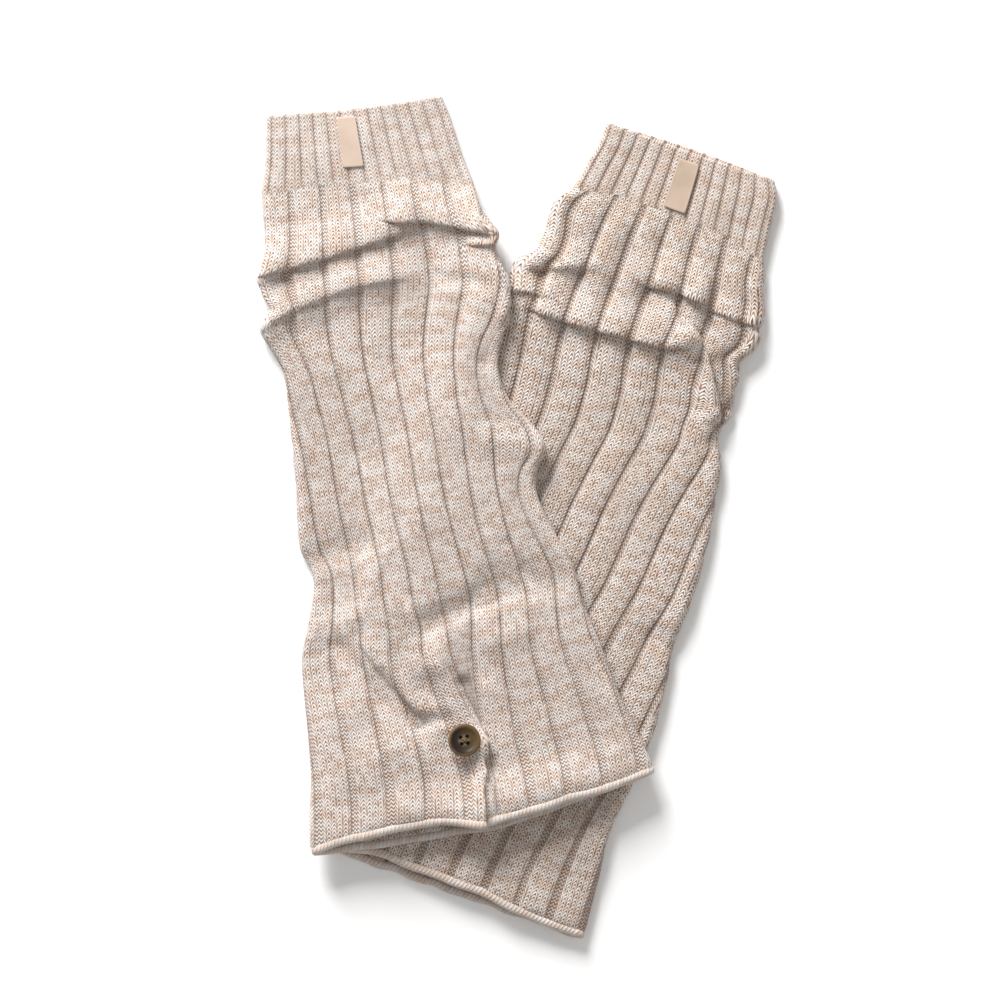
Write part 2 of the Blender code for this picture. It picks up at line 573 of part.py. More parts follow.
def make_label(warmer):
    """A small plain label made from the cuff's own points, moved out."""
    first, last, left, right = warmer.label
    across, along = LABEL_STEPS
    layers = []
    for height in (SEAM_GAP, SEAM_GAP + LABEL_THICK):
        rows = np.array([section_at(warmer.sections, place) for place in np.linspace(first, last, along + 1)])
        levels = np.linspace(left, right, across + 1)
        shares = np.array([[share_across(row, level) for level in levels] for row in rows])
        points, _, _, top = ring_points(warmer, rows, shares, 0.0, CUFF_RIB_RISE + height)
        layers.append(settle(warmer, points, top).reshape(-1, 3))
    below, above = np.arange(2 * (across + 1) * (along + 1)).reshape(2, along + 1, across + 1)
    faces = []
    for i in range(along):
        for j in range(across):
            for layer in (below, above):
                faces.append((layer[i, j], layer[i + 1, j], layer[i + 1, j + 1], layer[i, j + 1]))
    edge = [(i, 0) for i in range(along)] + [(along, j) for j in range(across)]
    edge += [(i, across) for i in range(along, 0, -1)] + [(0, j) for j in range(across, 0, -1)]
    for here, there in zip(edge, edge[1:] + edge[:1]):
        faces.append((below[here], below[there], above[there], above[here]))
    faces = [tuple(int(index) for index in face) for face in faces]
    return make_object(f"label_{warmer.name}", np.concatenate(layers), faces, LABEL_COLOUR, 0.6)


def make_button(warmer):
    """A four-hole button with a raised rim and a sunken middle, lying on the leg."""
    spot = front_point(warmer, *warmer.button)
    turn = 2 * math.pi * np.arange(BUTTON_SIDES) / BUTTON_SIDES
    circle = np.stack([np.cos(turn), np.sin(turn)], axis=1)
    seat = np.tile(spot, (1, BUTTON_SIDES, 1))
    seat[0, :, :2] += BUTTON_SEAT * circle
    ground = settle(warmer, seat, np.ones((1, BUTTON_SIDES)))[0, :, 2].max()
    vertices = [(*point * radius * MM, height * MM) for radius, height in BUTTON_PROFILE for point in circle]
    rings = np.arange(len(vertices)).reshape(len(BUTTON_PROFILE), BUTTON_SIDES).tolist()
    faces = [tuple(rings[0][::-1]), tuple(rings[-1])]
    for low, high in zip(rings, rings[1:]):
        for side in range(BUTTON_SIDES):
            beside = (side + 1) % BUTTON_SIDES
            faces.append((low[side], low[beside], high[beside], high[side]))
    button = make_object(f"button_{warmer.name}", vertices, faces, BUTTON_COLOUR, 0.25)
    button.location = (spot[0], spot[1], ground + SEAM_GAP)
    add_button_holes(button)
    return button


def add_button_holes(button):
    """Four straight holes through the button, cut by round pins."""
    model = bmesh.new()
    for across in (-1, 1):
        for along in (-1, 1):
            pin = bmesh.ops.create_cone(
                model,
                cap_ends=True,
                segments=BUTTON_HOLE_SIDES,
                radius1=BUTTON_HOLE_RADIUS,
                radius2=BUTTON_HOLE_RADIUS,
                depth=BUTTON_PIN_LENGTH,
            )
            step = (across * BUTTON_HOLE_SPREAD, along * BUTTON_HOLE_SPREAD, 0.0)
            bmesh.ops.translate(model, verts=pin["verts"], vec=step)
    mesh = bpy.data.meshes.new(f"{button.name}_pins")
    model.to_mesh(mesh)
    model.free()
    pins = bpy.data.objects.new(mesh.name, mesh)
    pins.location = button.location
    pins.hide_render = True
    pins.display_type = "WIRE"
    bpy.context.scene.collection.objects.link(pins)
    cut = button.modifiers.new("holes", "BOOLEAN")
    cut.operation = "DIFFERENCE"
    cut.solver = "EXACT"
    cut.object = pins


def main():
    """Clear the scene and build both leg warmers."""
    for thing in list(bpy.data.objects):
        bpy.data.objects.remove(thing, do_unlink=True)
    for warmer in WARMERS:
        for make in (make_cuff, make_leg, make_hem, make_label, make_button):
            make(warmer)


main()
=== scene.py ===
"""A pair of ribbed knit leg warmers, laid flat, the left one resting partly on the right one.

Each leg warmer is a flattened knit tube: a narrow-ribbed cuff, a wide-ribbed leg that slouches below the
cuff and flares towards its hem, and a rolled edge. A bare label lies on each cuff, and a horn button sewn on
with a cross of thread lies near each hem, on the left one beside a lap.

Every knit surface is a grid of wales (columns of stitches) and courses (rows of stitches). The grid's
points are worked out from tables of rings and creases, and its UV map counts wales and courses, so that the
yarn's finish follows the cloth through all its folds.
"""

import logging
import math
from dataclasses import dataclass, field
from enum import Enum
from typing import NamedTuple, Sequence

import bpy
import numpy as np
from numpy.typing import NDArray
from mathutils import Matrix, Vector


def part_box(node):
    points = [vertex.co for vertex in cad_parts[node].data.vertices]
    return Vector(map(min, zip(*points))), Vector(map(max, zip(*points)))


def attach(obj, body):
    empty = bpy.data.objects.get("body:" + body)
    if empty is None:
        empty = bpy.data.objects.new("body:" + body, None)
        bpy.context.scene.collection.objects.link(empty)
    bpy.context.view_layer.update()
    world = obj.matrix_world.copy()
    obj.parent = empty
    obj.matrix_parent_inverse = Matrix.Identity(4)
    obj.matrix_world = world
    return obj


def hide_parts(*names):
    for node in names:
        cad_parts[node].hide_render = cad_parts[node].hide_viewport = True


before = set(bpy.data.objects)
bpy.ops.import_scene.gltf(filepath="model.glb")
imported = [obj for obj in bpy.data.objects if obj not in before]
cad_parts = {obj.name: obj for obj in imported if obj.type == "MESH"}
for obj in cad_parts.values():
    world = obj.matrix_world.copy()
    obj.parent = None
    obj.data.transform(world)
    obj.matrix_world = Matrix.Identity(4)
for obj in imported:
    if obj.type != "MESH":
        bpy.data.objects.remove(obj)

Array = NDArray[np.float64]
Colour = tuple[float, float, float]

MM = 0.001
UP = np.array([0.0, 0.0, 1.0])
BODY = "root"

# The tube's own sizes, the same as the solids'
WALL = 2.4 * MM
TUBE_HEIGHT = 7.0 * MM
ROLL_RADIUS = 1.6 * MM
INNER_FOLD_SPACE = 1.5 * MM  # from a side fold to the inner skin's own, beyond the wall
CUFF_END = 3                 # the ring at which the cuff meets the leg

# The stitches
WALE = 2.9 * MM
COURSE = 2.2 * MM
EVEN_COURSES = 3.0           # weight of level courses against stitches of even length

# The ribs
RIB_FADE = 0.35              # share of a side fold's radius over which ribs run out, above and below it
CROWN_SIDE = 0.66            # height of a rib beside its groove, as a share of its crown's
CALM_PASSES = 8              # times that ring ends are averaged with their neighbours' for the ribs inside
SIDE_NEAR = 4.0 * MM         # from a side fold to where the ribs start to leave its own line,
SIDE_FAR = 28.0 * MM         # and to where they follow the calm one
TUCK_FROM = 3.6              # the rib count at which ribs start to go into a tuck,
TUCK_OVER = 1.6              # and over how many ribs they do
TUCK_FLAT = 6.0              # how soon a tuck's squeezed ribs lie flat
PUFF_ROUND = 0.8             # lower is a rib with a flatter top
SEAM_SHARE = 0.3             # how far up the ribs have come at a seam itself
SEAM_LEVEL = 0.6             # height of the knit at the seam of cuff and leg, as a share of a leg rib's

# The creases
LIP_LEAN = 3.0               # mm of lean from which a crease's drop is a round, overhanging lip
FOLD_END = 0.2               # share of a crease's length over which it eases out at each end
FOLD_INSIDE = 0.3            # share of a crest that the inner skin follows
TROUGH_INSIDE = 2.0 * MM     # the deepest that the inner skin follows a trough
TROUGH_OUTSIDE = 3.6 * MM    # the deepest trough of the outer skin
GAPE_REACH = 24.0 * MM       # from the hem to where its upper layer lies on the lower one again

# How the left leg warmer climbs over the right one's side fold, and over its button in a low dome
COVERED_FROM = 10            # the right one's ring from which its side fold is covered
CLIMB_FROM = -50.0 * MM
CLIMB_TO = -4.0 * MM
CLIMB_HEIGHT = TUBE_HEIGHT + 1.3 * MM
DOME_HEIGHT = 3.6 * MM
DOME_FLAT = 12.0 * MM
DOME_FOOT = 34.0 * MM

# Columns of the table of rings: first the fields of Ring, and then what WarmerShape.table adds
LEFT, RIGHT = slice(0, 2), slice(2, 4)
BOW, BACK, HEM = slice(4, 5), slice(5, 6), slice(6, 7)
RIB_LEFT, RIB_RIGHT = slice(7, 8), slice(8, 9)
OPEN, PITCH = slice(9, 10), 10
CALM_LEFT, CALM_RIGHT = slice(11, 13), slice(13, 15)
TUCK, PUFF = slice(15, 16), slice(16, 17)

SHARP_FROM = math.radians(75)  # the angle from which an edge of the knit is shaded sharp
MIX_SHARE, MIX_FIRST, MIX_SECOND, MIX_RESULT = 0, 6, 7, 2  # a Mix node's sockets when it blends colours


class Ring(NamedTuple):
    """One ring of a tube, in mm: the ends of its front, and how it bends between them."""

    left_x: float
    left_y: float
    right_x: float
    right_y: float
    bow: float        # how far the middle of the ring lies towards the hem
    back: float       # how far the underside's middle lies beyond the front's, towards the hem
    hem: float        # share of the hem's own line that this ring follows
    rib_left: float   # rib count at the left side fold; a whole number is a groove
    rib_right: float  # rib count at the right side fold
    open: float       # how far the purl grooves are stretched open, from 0 to 1
    pitch: float      # mm between rows of points from this ring to the next


class Crease(NamedTuple):
    """A crest in plan, in mm.

    The cloth rises over `run` on the left of the crest's travel, and falls over `drop` on its right.
    """

    start_x: float
    start_y: float
    end_x: float
    end_y: float
    sag: float     # how far the crest's middle bends towards the drop
    height: float  # below zero for a trough
    run: float
    drop: float
    lean: float    # how far the crest leans out over the drop


RINGS_A = (
    #     left_x  left_y  right_x right_y  bow  back  hem  rib_l  rib_r  open  pitch
    Ring(-138.0,   221.0,   -41.5,   232.0,   1.6,  0.0, 0.0,  0.00,  7.00, 0.20,  0.9),
    Ring(-138.0,   214.0,   -37.5,   221.5,   1.6,  0.0, 0.0,  0.00,  7.00, 0.20,  0.9),
    Ring(-138.5,   197.5,   -31.5,   202.5,   1.6,  0.0, 0.0,  0.00,  7.00, 0.30,  0.9),
    Ring(-140.5,   179.0,   -24.0,   183.5,   1.0,  0.0, 0.0,  0.00,  7.00, 0.40,  1.6),
    Ring(-140.0,   168.5,   -20.0,   172.0,   0.5,  0.0, 0.0,  0.00,  7.00, 0.50,  0.7),
    Ring(-138.5,   154.0,   -15.0,   164.5,   0.0,  0.0, 0.0,  0.05,  7.00, 0.50,  0.7),
    Ring(-140.5,   142.0,   -10.0,   157.0,   0.0,  0.0, 0.0,  0.10,  7.05, 0.50,  0.7),
    Ring(-142.5,   132.5,   -12.0,   149.0,   0.0,  0.0, 0.0,  0.10,  7.05, 0.50,  0.7),
    Ring(-140.5,   126.5,   -10.5,   142.5,   0.0,  0.0, 0.0,  0.10,  7.10, 0.50,  0.7),
    Ring(-138.5,   121.5,    -7.5,   136.5,   0.0,  0.0, 0.0,  0.10,  7.15, 0.40,  0.7),
    Ring(-136.0,   117.0,    -5.0,   130.5,   0.0,  0.0, 0.0,  0.10,  7.25, 0.40,  1.0),
    Ring(-140.5,   110.5,    -4.5,   119.5,   0.0,  0.0, 0.0,  0.05,  7.40, 0.30,  1.0),
    Ring(-141.5,   103.5,    -5.5,   108.5,   0.0,  0.0, 0.0,  0.00,  7.55, 0.20,  1.0),
    Ring(-137.0,    95.5,    -9.0,    99.0,   0.0,  0.0, 0.0, -0.05,  7.70, 0.15,  1.8),
    Ring(-131.0,    86.5,   -11.0,    90.0,   0.0,  0.0, 0.0, -0.10,  7.85, 0.10,  1.8),
    Ring(-127.5,    76.5,   -10.5,    80.5,   0.5,  0.0, 0.0, -0.20,  8.00, 0.10,  1.8),
    Ring(-125.5,    61.0,    -4.5,    64.5,   1.0,  0.0, 0.0, -0.30,  8.20, 0.10,  1.8),
    Ring(-124.0,    48.0,     8.0,    51.5,   1.0,  0.0, 0.0, -0.40,  8.35, 0.10,  1.8),
    Ring(-123.0,    36.5,    15.0,    38.0,   1.5,  0.0, 0.0, -0.50,  8.55, 0.10,  1.8),
    Ring(-122.0,    25.0,    10.0,    26.0,   2.0,  0.0, 0.0, -0.60,  8.70, 0.10,  1.8),
    Ring(-121.0,    10.5,    10.5,    12.5,   2.5,  0.0, 0.0, -0.70,  8.80, 0.10,  1.8),
    Ring(-120.5,    -6.0,    18.5,    -5.0,   3.0,  0.0, 0.0, -0.80,  8.85, 0.10,  1.8),
    Ring(-118.5,   -18.5,    25.0,   -15.5,   3.0,  0.0, 0.0, -0.85,  8.85, 0.10,  1.8),
    Ring(-113.0,   -28.5,    29.0,   -23.0,   3.5,  0.0, 0.0, -0.90,  8.85, 0.15,  1.8),
    Ring(-111.5,   -38.5,    31.5,   -30.5,   4.0,  0.0, 0.0, -0.90,  8.85, 0.20,  1.8),
    Ring(-114.5,   -55.5,    34.5,   -43.0,   4.0,  0.0, 0.0, -1.00,  9.00, 0.20,  1.8),
    Ring(-118.5,   -75.5,    40.5,   -58.0,   4.0,  0.0, 0.0, -1.05,  9.20, 0.30,  1.8),
    Ring(-117.5,   -94.0,    46.0,   -71.5,   4.0,  0.0, 0.0, -1.10,  9.20, 0.35,  1.8),
    Ring(-115.0,  -116.0,    52.0,   -88.0,   4.0,  0.0, 0.0, -1.15,  9.10, 0.45,  1.8),
    Ring(-113.0,  -143.5,    61.0,  -108.5,   3.0,  0.0, 0.2, -1.25,  9.15, 0.50,  1.8),
    Ring(-113.5,  -163.5,    68.0,  -123.0,   1.0,  0.0, 0.6, -1.33,  9.20, 0.60,  1.8),
    Ring(-113.5,  -181.0,    74.0,  -136.0,   0.0,  0.0, 1.0, -1.35,  9.40, 0.65,  1.6),
)

RINGS_B = (
    #     left_x  left_y  right_x right_y  bow  back  hem  rib_l  rib_r  open  pitch
    Ring(  49.0,   217.5,   141.5,   185.5,   0.8, -2.5, 0.0,  0.35,  7.55, 0.20,  0.9),
    Ring(  45.5,   208.0,   142.5,   175.5,   0.8, -1.0, 0.0,  0.35,  7.55, 0.20,  0.9),
    Ring(  39.0,   197.0,   139.0,   160.0,   0.8,  0.0, 0.0,  0.35,  7.55, 0.30,  0.9),
    Ring(  31.0,   183.0,   135.5,   142.5,   0.5,  0.0, 0.0,  0.35,  7.55, 0.40,  1.6),
    Ring(  24.5,   178.5,   134.5,   135.5,   0.0,  0.0, 0.0,  0.35,  7.55, 0.40,  1.4),
    Ring(  20.0,   171.0,   133.0,   127.0,   0.0,  0.0, 0.0,  0.35,  7.55, 0.40,  1.2),
    Ring(  17.5,   159.0,   133.5,   117.5,   0.0,  0.0, 0.0,  0.30,  7.55, 0.40,  0.7),
    Ring(  13.0,   150.5,   133.0,   110.5,   0.0,  0.0, 0.0,  0.25,  7.55, 0.40,  0.7),
    Ring(   4.5,   145.0,   131.5,   105.0,   0.0,  0.0, 0.0,  0.20,  7.50, 0.40,  0.7),
    Ring(  -1.5,   138.0,   132.5,    99.5,   0.0,  0.0, 0.0,  0.15,  7.50, 0.40,  0.7),
    Ring(  -3.5,   130.0,   129.0,    93.0,   0.0,  0.0, 0.0,  0.10,  7.50, 0.30,  0.7),
    Ring(  -7.0,   121.5,   121.5,    87.0,   0.0,  0.0, 0.0,  0.05,  7.50, 0.30,  0.7),
    Ring( -10.0,   113.5,   120.0,    77.5,   0.0,  0.0, 0.0,  0.00,  7.40, 0.20,  0.7),
    Ring( -13.5,   102.5,   118.0,    66.5,   0.0,  0.0, 0.0, -0.05,  7.30, 0.15,  0.7),
    Ring( -17.5,    90.0,   117.0,    57.0,   0.0,  0.0, 0.0, -0.10,  7.20, 0.10,  1.4),
    Ring( -20.5,    78.0,   110.0,    47.0,   0.0,  0.0, 0.0, -0.15,  7.25, 0.10,  1.4),
    Ring( -24.5,    66.0,   110.5,    37.0,   0.0,  0.0, 0.0, -0.15,  7.35, 0.10,  2.2),
    Ring( -28.5,    53.5,   111.0,    26.0,   0.0,  0.0, 0.0, -0.10,  7.65, 0.10,  2.2),
    Ring( -32.0,    40.0,   109.0,    13.0,   0.0,  0.0, 0.0, -0.05,  8.00, 0.10,  2.2),
    Ring( -37.0,    24.0,   106.5,    -2.5,   0.0,  0.0, 0.0,  0.05,  8.30, 0.10,  2.2),
    Ring( -42.5,     6.5,   102.0,   -21.5,   0.0,  0.0, 0.0,  0.15,  8.50, 0.10,  2.2),
    Ring( -49.0,   -15.5,    94.5,   -47.0,   0.0,  0.0, 0.0,  0.40,  8.65, 0.10,  2.2),
    Ring( -56.0,   -37.5,    85.5,   -69.5,   0.0,  0.0, 0.0,  0.75,  8.90, 0.30,  2.2),
    Ring( -61.0,   -54.0,    83.0,   -85.0,   0.0,  0.0, 0.0,  1.00,  9.10, 0.30,  2.2),
    Ring( -65.5,   -70.5,    78.5,  -102.0,   0.0,  0.0, 0.0,  1.25,  9.30, 0.30,  2.2),
    Ring( -72.0,   -91.0,    71.0,  -127.0,   0.0,  0.0, 0.0,  1.55,  9.50, 0.35,  2.2),
    Ring( -78.5,  -112.0,    61.0,  -149.5,   0.0,  0.0, 0.0,  1.85,  9.70, 0.45,  2.2),
    Ring( -85.0,  -132.5,    51.0,  -170.5,   0.0,  0.0, 0.1,  2.10,  9.90, 0.50,  2.2),
    Ring( -93.0,  -154.5,    45.5,  -193.5,   0.0,  0.0, 0.5,  2.35, 10.10, 0.55,  2.2),
    Ring(-101.5,  -179.5,    36.5,  -228.5,   0.0,  0.0, 1.0,  2.50, 10.20, 0.60,  2.2),
)

CREASES_A = (
    #       start_x start_y  end_x   end_y   sag  height run  drop lean
    Crease(-157.0,  136.0,  -50.0,  169.0,   2.0,  2.6, 20.0,  6.0, 3.8),  # lower slouch fold, and its slope
    Crease(-157.0,  136.0,  -50.0,  169.0,   2.0,  2.6, 20.0, 17.0, 0.0),
    Crease( -80.0,  173.0,   -7.0,  160.0,  -2.0,  2.6, 18.0,  6.0, 3.8),  # upper slouch fold, and its slope
    Crease( -80.0,  173.0,   -7.0,  160.0,  -2.0,  2.4, 20.0, 15.0, 0.0),
    Crease(-156.0,   98.0,  -50.0,  137.0,  -9.0,  1.9, 16.0,  8.0, 2.4),  # softer fold under them
    Crease(-156.0,   98.0,  -46.0,  137.0,  -9.0,  2.4, 18.0, 19.0, 0.0),
    Crease( -21.0,  174.0,   -9.0,  148.0,   0.0,  2.5,  7.0,  4.0, 1.5),  # crumple at the right side
    Crease( -30.0,  152.0,    2.0,  152.0,   0.0,  1.8,  5.0,  3.0, 1.5),  # pinch under it
    Crease( -48.0,  134.0,  -12.0,  128.0,   0.0, -1.3,  6.0,  8.0, 0.0),  # dip beside it
    Crease( -12.0,  146.0,   -8.0,  106.0,  -2.0,  2.0,  8.0,  5.0, 0.5),  # roll along the right side
    Crease(  -7.0,  110.0,  -20.0,   80.0,   0.0, -1.8,  6.0,  6.0, 0.0),  # pinch at the right side
    Crease( -24.0,   46.0,   22.0,   38.0,   0.0,  1.6, 15.0, 13.0, 0.0),  # bulge at the right side
    Crease(-130.0,  -30.0,  -72.0,  -10.0,   0.0, -1.7, 14.0,  9.0, 0.0),  # valley from the left side
    Crease(-130.0,  -71.0,  -78.0,  -50.0,   0.0,  1.6, 13.0, 12.0, 0.0),  # ridge below it
    Crease( -90.0,  -60.0,  -70.0,  -10.0,   0.0,  1.5, 10.0,  8.0, 0.0),  # its upright end
    Crease(-112.0,  -58.0,  -94.0, -106.0,   0.0, -1.8,  5.0,  7.0, 0.0),  # drag lines to the button
    Crease(-101.0,  -62.0,  -69.0, -108.0,   0.0, -2.6,  5.0,  9.0, 0.0),
    Crease( -88.0,  -60.0,  -44.0, -112.0,   3.0,  2.2, 11.0,  5.0, 1.5),  # ridge between two of them
    Crease( -78.0,  -78.0,  -48.0, -121.0,   0.0, -3.0,  6.0,  9.0, 0.0),
    Crease( -64.0, -110.0,  -33.0, -110.0,   0.0, -1.8,  7.0,  6.0, 0.0),  # dimple beside the button
    Crease( -62.0,  -32.0,  -40.0, -108.0,   8.0, -1.3,  5.0,  5.0, 0.0),  # long drag line from the middle
    Crease( -60.0,  -66.0,   -6.0,  -40.0,  -2.0, -3.2, 13.0, 11.0, 0.0),  # hollow across the middle
    Crease( -28.0,  -44.0,   32.0,  -32.0,   0.0, -2.6, 22.0, 13.0, 0.0),  # its right part
    Crease(  -9.0,   -8.0,    8.0,  -38.0,   0.0, -1.4,  6.0,  5.0, 0.0),  # darkest rib in it
    Crease( -64.0,  -86.0,  -34.0,  -72.0,   0.0,  1.8, 13.0, 12.0, 0.0),  # swells under the hollow
    Crease( -24.0,  -70.0,   14.0,  -58.0,   0.0,  1.6, 12.0, 14.0, 0.0),
    Crease( -27.0,  -52.0,  -18.0,  -94.0,   0.0, -1.8,  6.0,  5.0, 0.0),  # valley between the swells
    Crease(  24.0,  -18.0,   52.0, -104.0,   0.0, -1.6,  5.0,  6.0, 0.0),  # soft valley by the right side
    Crease( -20.0, -196.0,  -18.6, -108.0,   0.0,  4.4, 15.0,  1.8, 2.4),  # lap that the button holds
    Crease( -13.5, -131.5,  -47.5,  -72.5,   0.0,  3.8, 13.0,  1.8, 2.4),  # its upper part
    Crease( -36.0,  -92.0,  -68.0,  -40.0,   2.0,  1.6, 10.0,  5.0, 0.8),  # its soft end
    Crease( -21.0, -120.0,  -32.0,  -84.0,   0.0, -3.2,  5.0,  8.0, 0.0),  # recess beside it
)

CREASES_B = (
    #       start_x start_y  end_x   end_y   sag  height run  drop lean
    Crease(   0.0,  123.0,   99.0,   96.0,   1.5,  2.8, 16.0,  5.5, 3.8),  # main slouch fold, and its slope
    Crease(   0.0,  123.0,   99.0,   96.0,   1.5,  2.4, 18.0, 15.0, 0.0),
    Crease(  66.0,  135.0,  112.0,  124.0,  -2.0,  2.9, 16.0,  7.0, 3.4),  # short fold above it
    Crease(  58.0,  137.0,  112.0,  124.0,  -2.0,  2.2, 17.0, 13.0, 0.0),
    Crease(  88.0,  127.5,  140.0,  107.0,   2.5,  2.0,  9.0,  5.0, 2.0),  # its thinner end
    Crease(   0.0,  142.5,   50.0,  142.0,   0.0,  3.0, 14.0,  9.0, 2.2),  # short crease at the left
    Crease(  -8.0,  128.5,   24.0,  127.0,   0.0,  2.4,  9.0,  5.5, 1.8),  # lobe at the left side
    Crease(  96.0,   84.0,   82.0,  122.0,   0.0,  2.4, 10.0,  4.0, 2.0),  # edge of the pouch over the fold
    Crease( 107.0,   42.0,   88.0,  112.0,   4.0,  4.2, 10.0,  5.5, 3.6),  # upright fold at the right side
    Crease( 112.0,   50.0,  106.0,   92.0,   0.0, -2.0,  4.0,  6.0, 0.0),  # troughs beside it
    Crease( 104.0,   48.0,  122.0,   66.0,   0.0, -2.0,  5.0,  5.0, 0.0),
    Crease(  70.0,  -60.0,   96.0,  -78.0,   0.0, -1.2, 10.0, 10.0, 0.0),  # dip by the right side
)

# Soft unevenness of the cloth: wavelength in mm, direction in degrees, height in mm
RIPPLES = (
    (61.0, 78.0, 0.24),
    (43.0, 20.0, 0.18),
    (33.0, 122.0, 0.14),
    (24.0, 63.0, 0.10),
    (19.0, 155.0, 0.08),
)


def smooth_step(value: Array) -> Array:
    """Ease from 0 to 1 as `value` goes from 0 to 1: 3 v^2 - 2 v^3."""
    value = np.clip(value, 0.0, 1.0)
    return value * value * (3.0 - 2.0 * value)


def smooth_line(value: Array, points: Sequence[tuple[float, float]]) -> Array:
    """Read a smooth line through a short list of points.

    A cubic Hermite curve between neighbours, whose slope at a point is the mean slope across it.

    Args:
        value: Where to read the line.
        points: (position, height) pairs, in order.

    Returns:
        The line's height at each value.
    """
    at, height = (np.array(part) for part in zip(*points))
    slope = np.gradient(height, at)
    first = np.clip(np.searchsorted(at, value, side="right") - 1, 0, len(at) - 2)
    span = at[first + 1] - at[first]
    t = (value - at[first]) / span
    return (
        (2 * t**3 - 3 * t**2 + 1) * height[first]
        + (t**3 - 2 * t**2 + t) * span * slope[first]
        + (3 * t**2 - 2 * t**3) * height[first + 1]
        + (t**3 - t**2) * span * slope[first + 1]
    )


def rings_at(table: Array, places: Array) -> Array:
    """Read the table of rings at places between its rows.

    Catmull-Rom: a cubic between two rings whose end slopes are half the step between the rings either side.

    Args:
        table: One row for each ring.
        places: Ring numbers, with fractions.

    Returns:
        One table row for each place.
    """
    last = len(table) - 1
    first = np.clip(places.astype(int), 0, last - 1)
    t = (places - first)[:, None]
    before, here = table[np.maximum(first - 1, 0)], table[first]
    after, beyond = table[first + 1], table[np.minimum(first + 2, last)]
    return (
        (2 * t**3 - 3 * t**2 + 1) * here
        + (t**3 - 2 * t**2 + t) * (after - before) / 2
        + (3 * t**2 - 2 * t**3) * after
        + (t**3 - t**2) * (beyond - here) / 2
    )


def torus_mesh(
    name: str, points: Array, wales: Array, courses: Array, closed: Array | None = None
) -> bpy.types.Object:
    """Make a closed mesh from a grid of points that joins up with itself both ways.

    The face at (row, column) has the corners (r, c), (r + 1, c), (r + 1, c + 1), (r, c + 1), all modulo the
    grid's size. The UV map, named "knit", holds the count of wales and of courses at each face's corners.

    Args:
        name: The object's name.
        points: Grid of points, rows by columns by 3.
        wales: Wale counts, one row and one column more than the points, so that they run on over the join.
        courses: Course counts, the same.
        closed: How far the groove at each point is drawn together, kept as the attribute "closed".

    Returns:
        The new object.
    """
    rows, columns = points.shape[:2]
    row, column = np.meshgrid(np.arange(rows), np.arange(columns), indexing="ij")
    corners = [(row, column), (row + 1, column), (row + 1, column + 1), (row, column + 1)]
    faces = np.stack([(r % rows) * columns + c % columns for r, c in corners], axis=-1).reshape(-1, 4)
    counts = np.stack([np.stack([wales[r, c], courses[r, c]], axis=-1) for r, c in corners], axis=2)
    mesh = bpy.data.meshes.new(name)
    mesh.vertices.add(rows * columns)
    mesh.vertices.foreach_set("co", points.reshape(-1).astype(np.float32))
    mesh.loops.add(faces.size)
    mesh.loops.foreach_set("vertex_index", faces.reshape(-1).astype(np.int32))
    mesh.polygons.add(len(faces))
    mesh.polygons.foreach_set("loop_start", np.arange(0, faces.size, 4, dtype=np.int32))
    layer = mesh.uv_layers.new(name="knit")
    layer.uv.foreach_set("vector", counts.reshape(-1).astype(np.float32))
    mesh.update(calc_edges=True)
    if closed is not None:
        attribute = mesh.attributes.new("closed", "FLOAT", "POINT")
        attribute.data.foreach_set("value", closed.ravel().astype(np.float32))
    mesh.validate()
    mesh.shade_smooth()
    mesh.set_sharp_from_angle(angle=SHARP_FROM)
    return add_object(name, mesh)


def add_object(name: str, data: bpy.types.ID) -> bpy.types.Object:
    """Put a mesh, a light or a camera into the scene.

    Args:
        name: The object's name.
        data: What the object holds.

    Returns:
        The new object.
    """
    thing = bpy.data.objects.new(name, data)
    bpy.context.scene.collection.objects.link(thing)
    return thing


def finish_piece(
    thing: bpy.types.Object, material: bpy.types.Material, node: str | None = None
) -> None:
    """Give a piece its material and its body, and hide the solid that it stands for.

    Args:
        thing: The piece.
        material: Its material.
        node: The solid that it stands for, if any.
    """
    thing.data.materials.append(material)
    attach(thing, BODY)
    if node is not None:
        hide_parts(node)


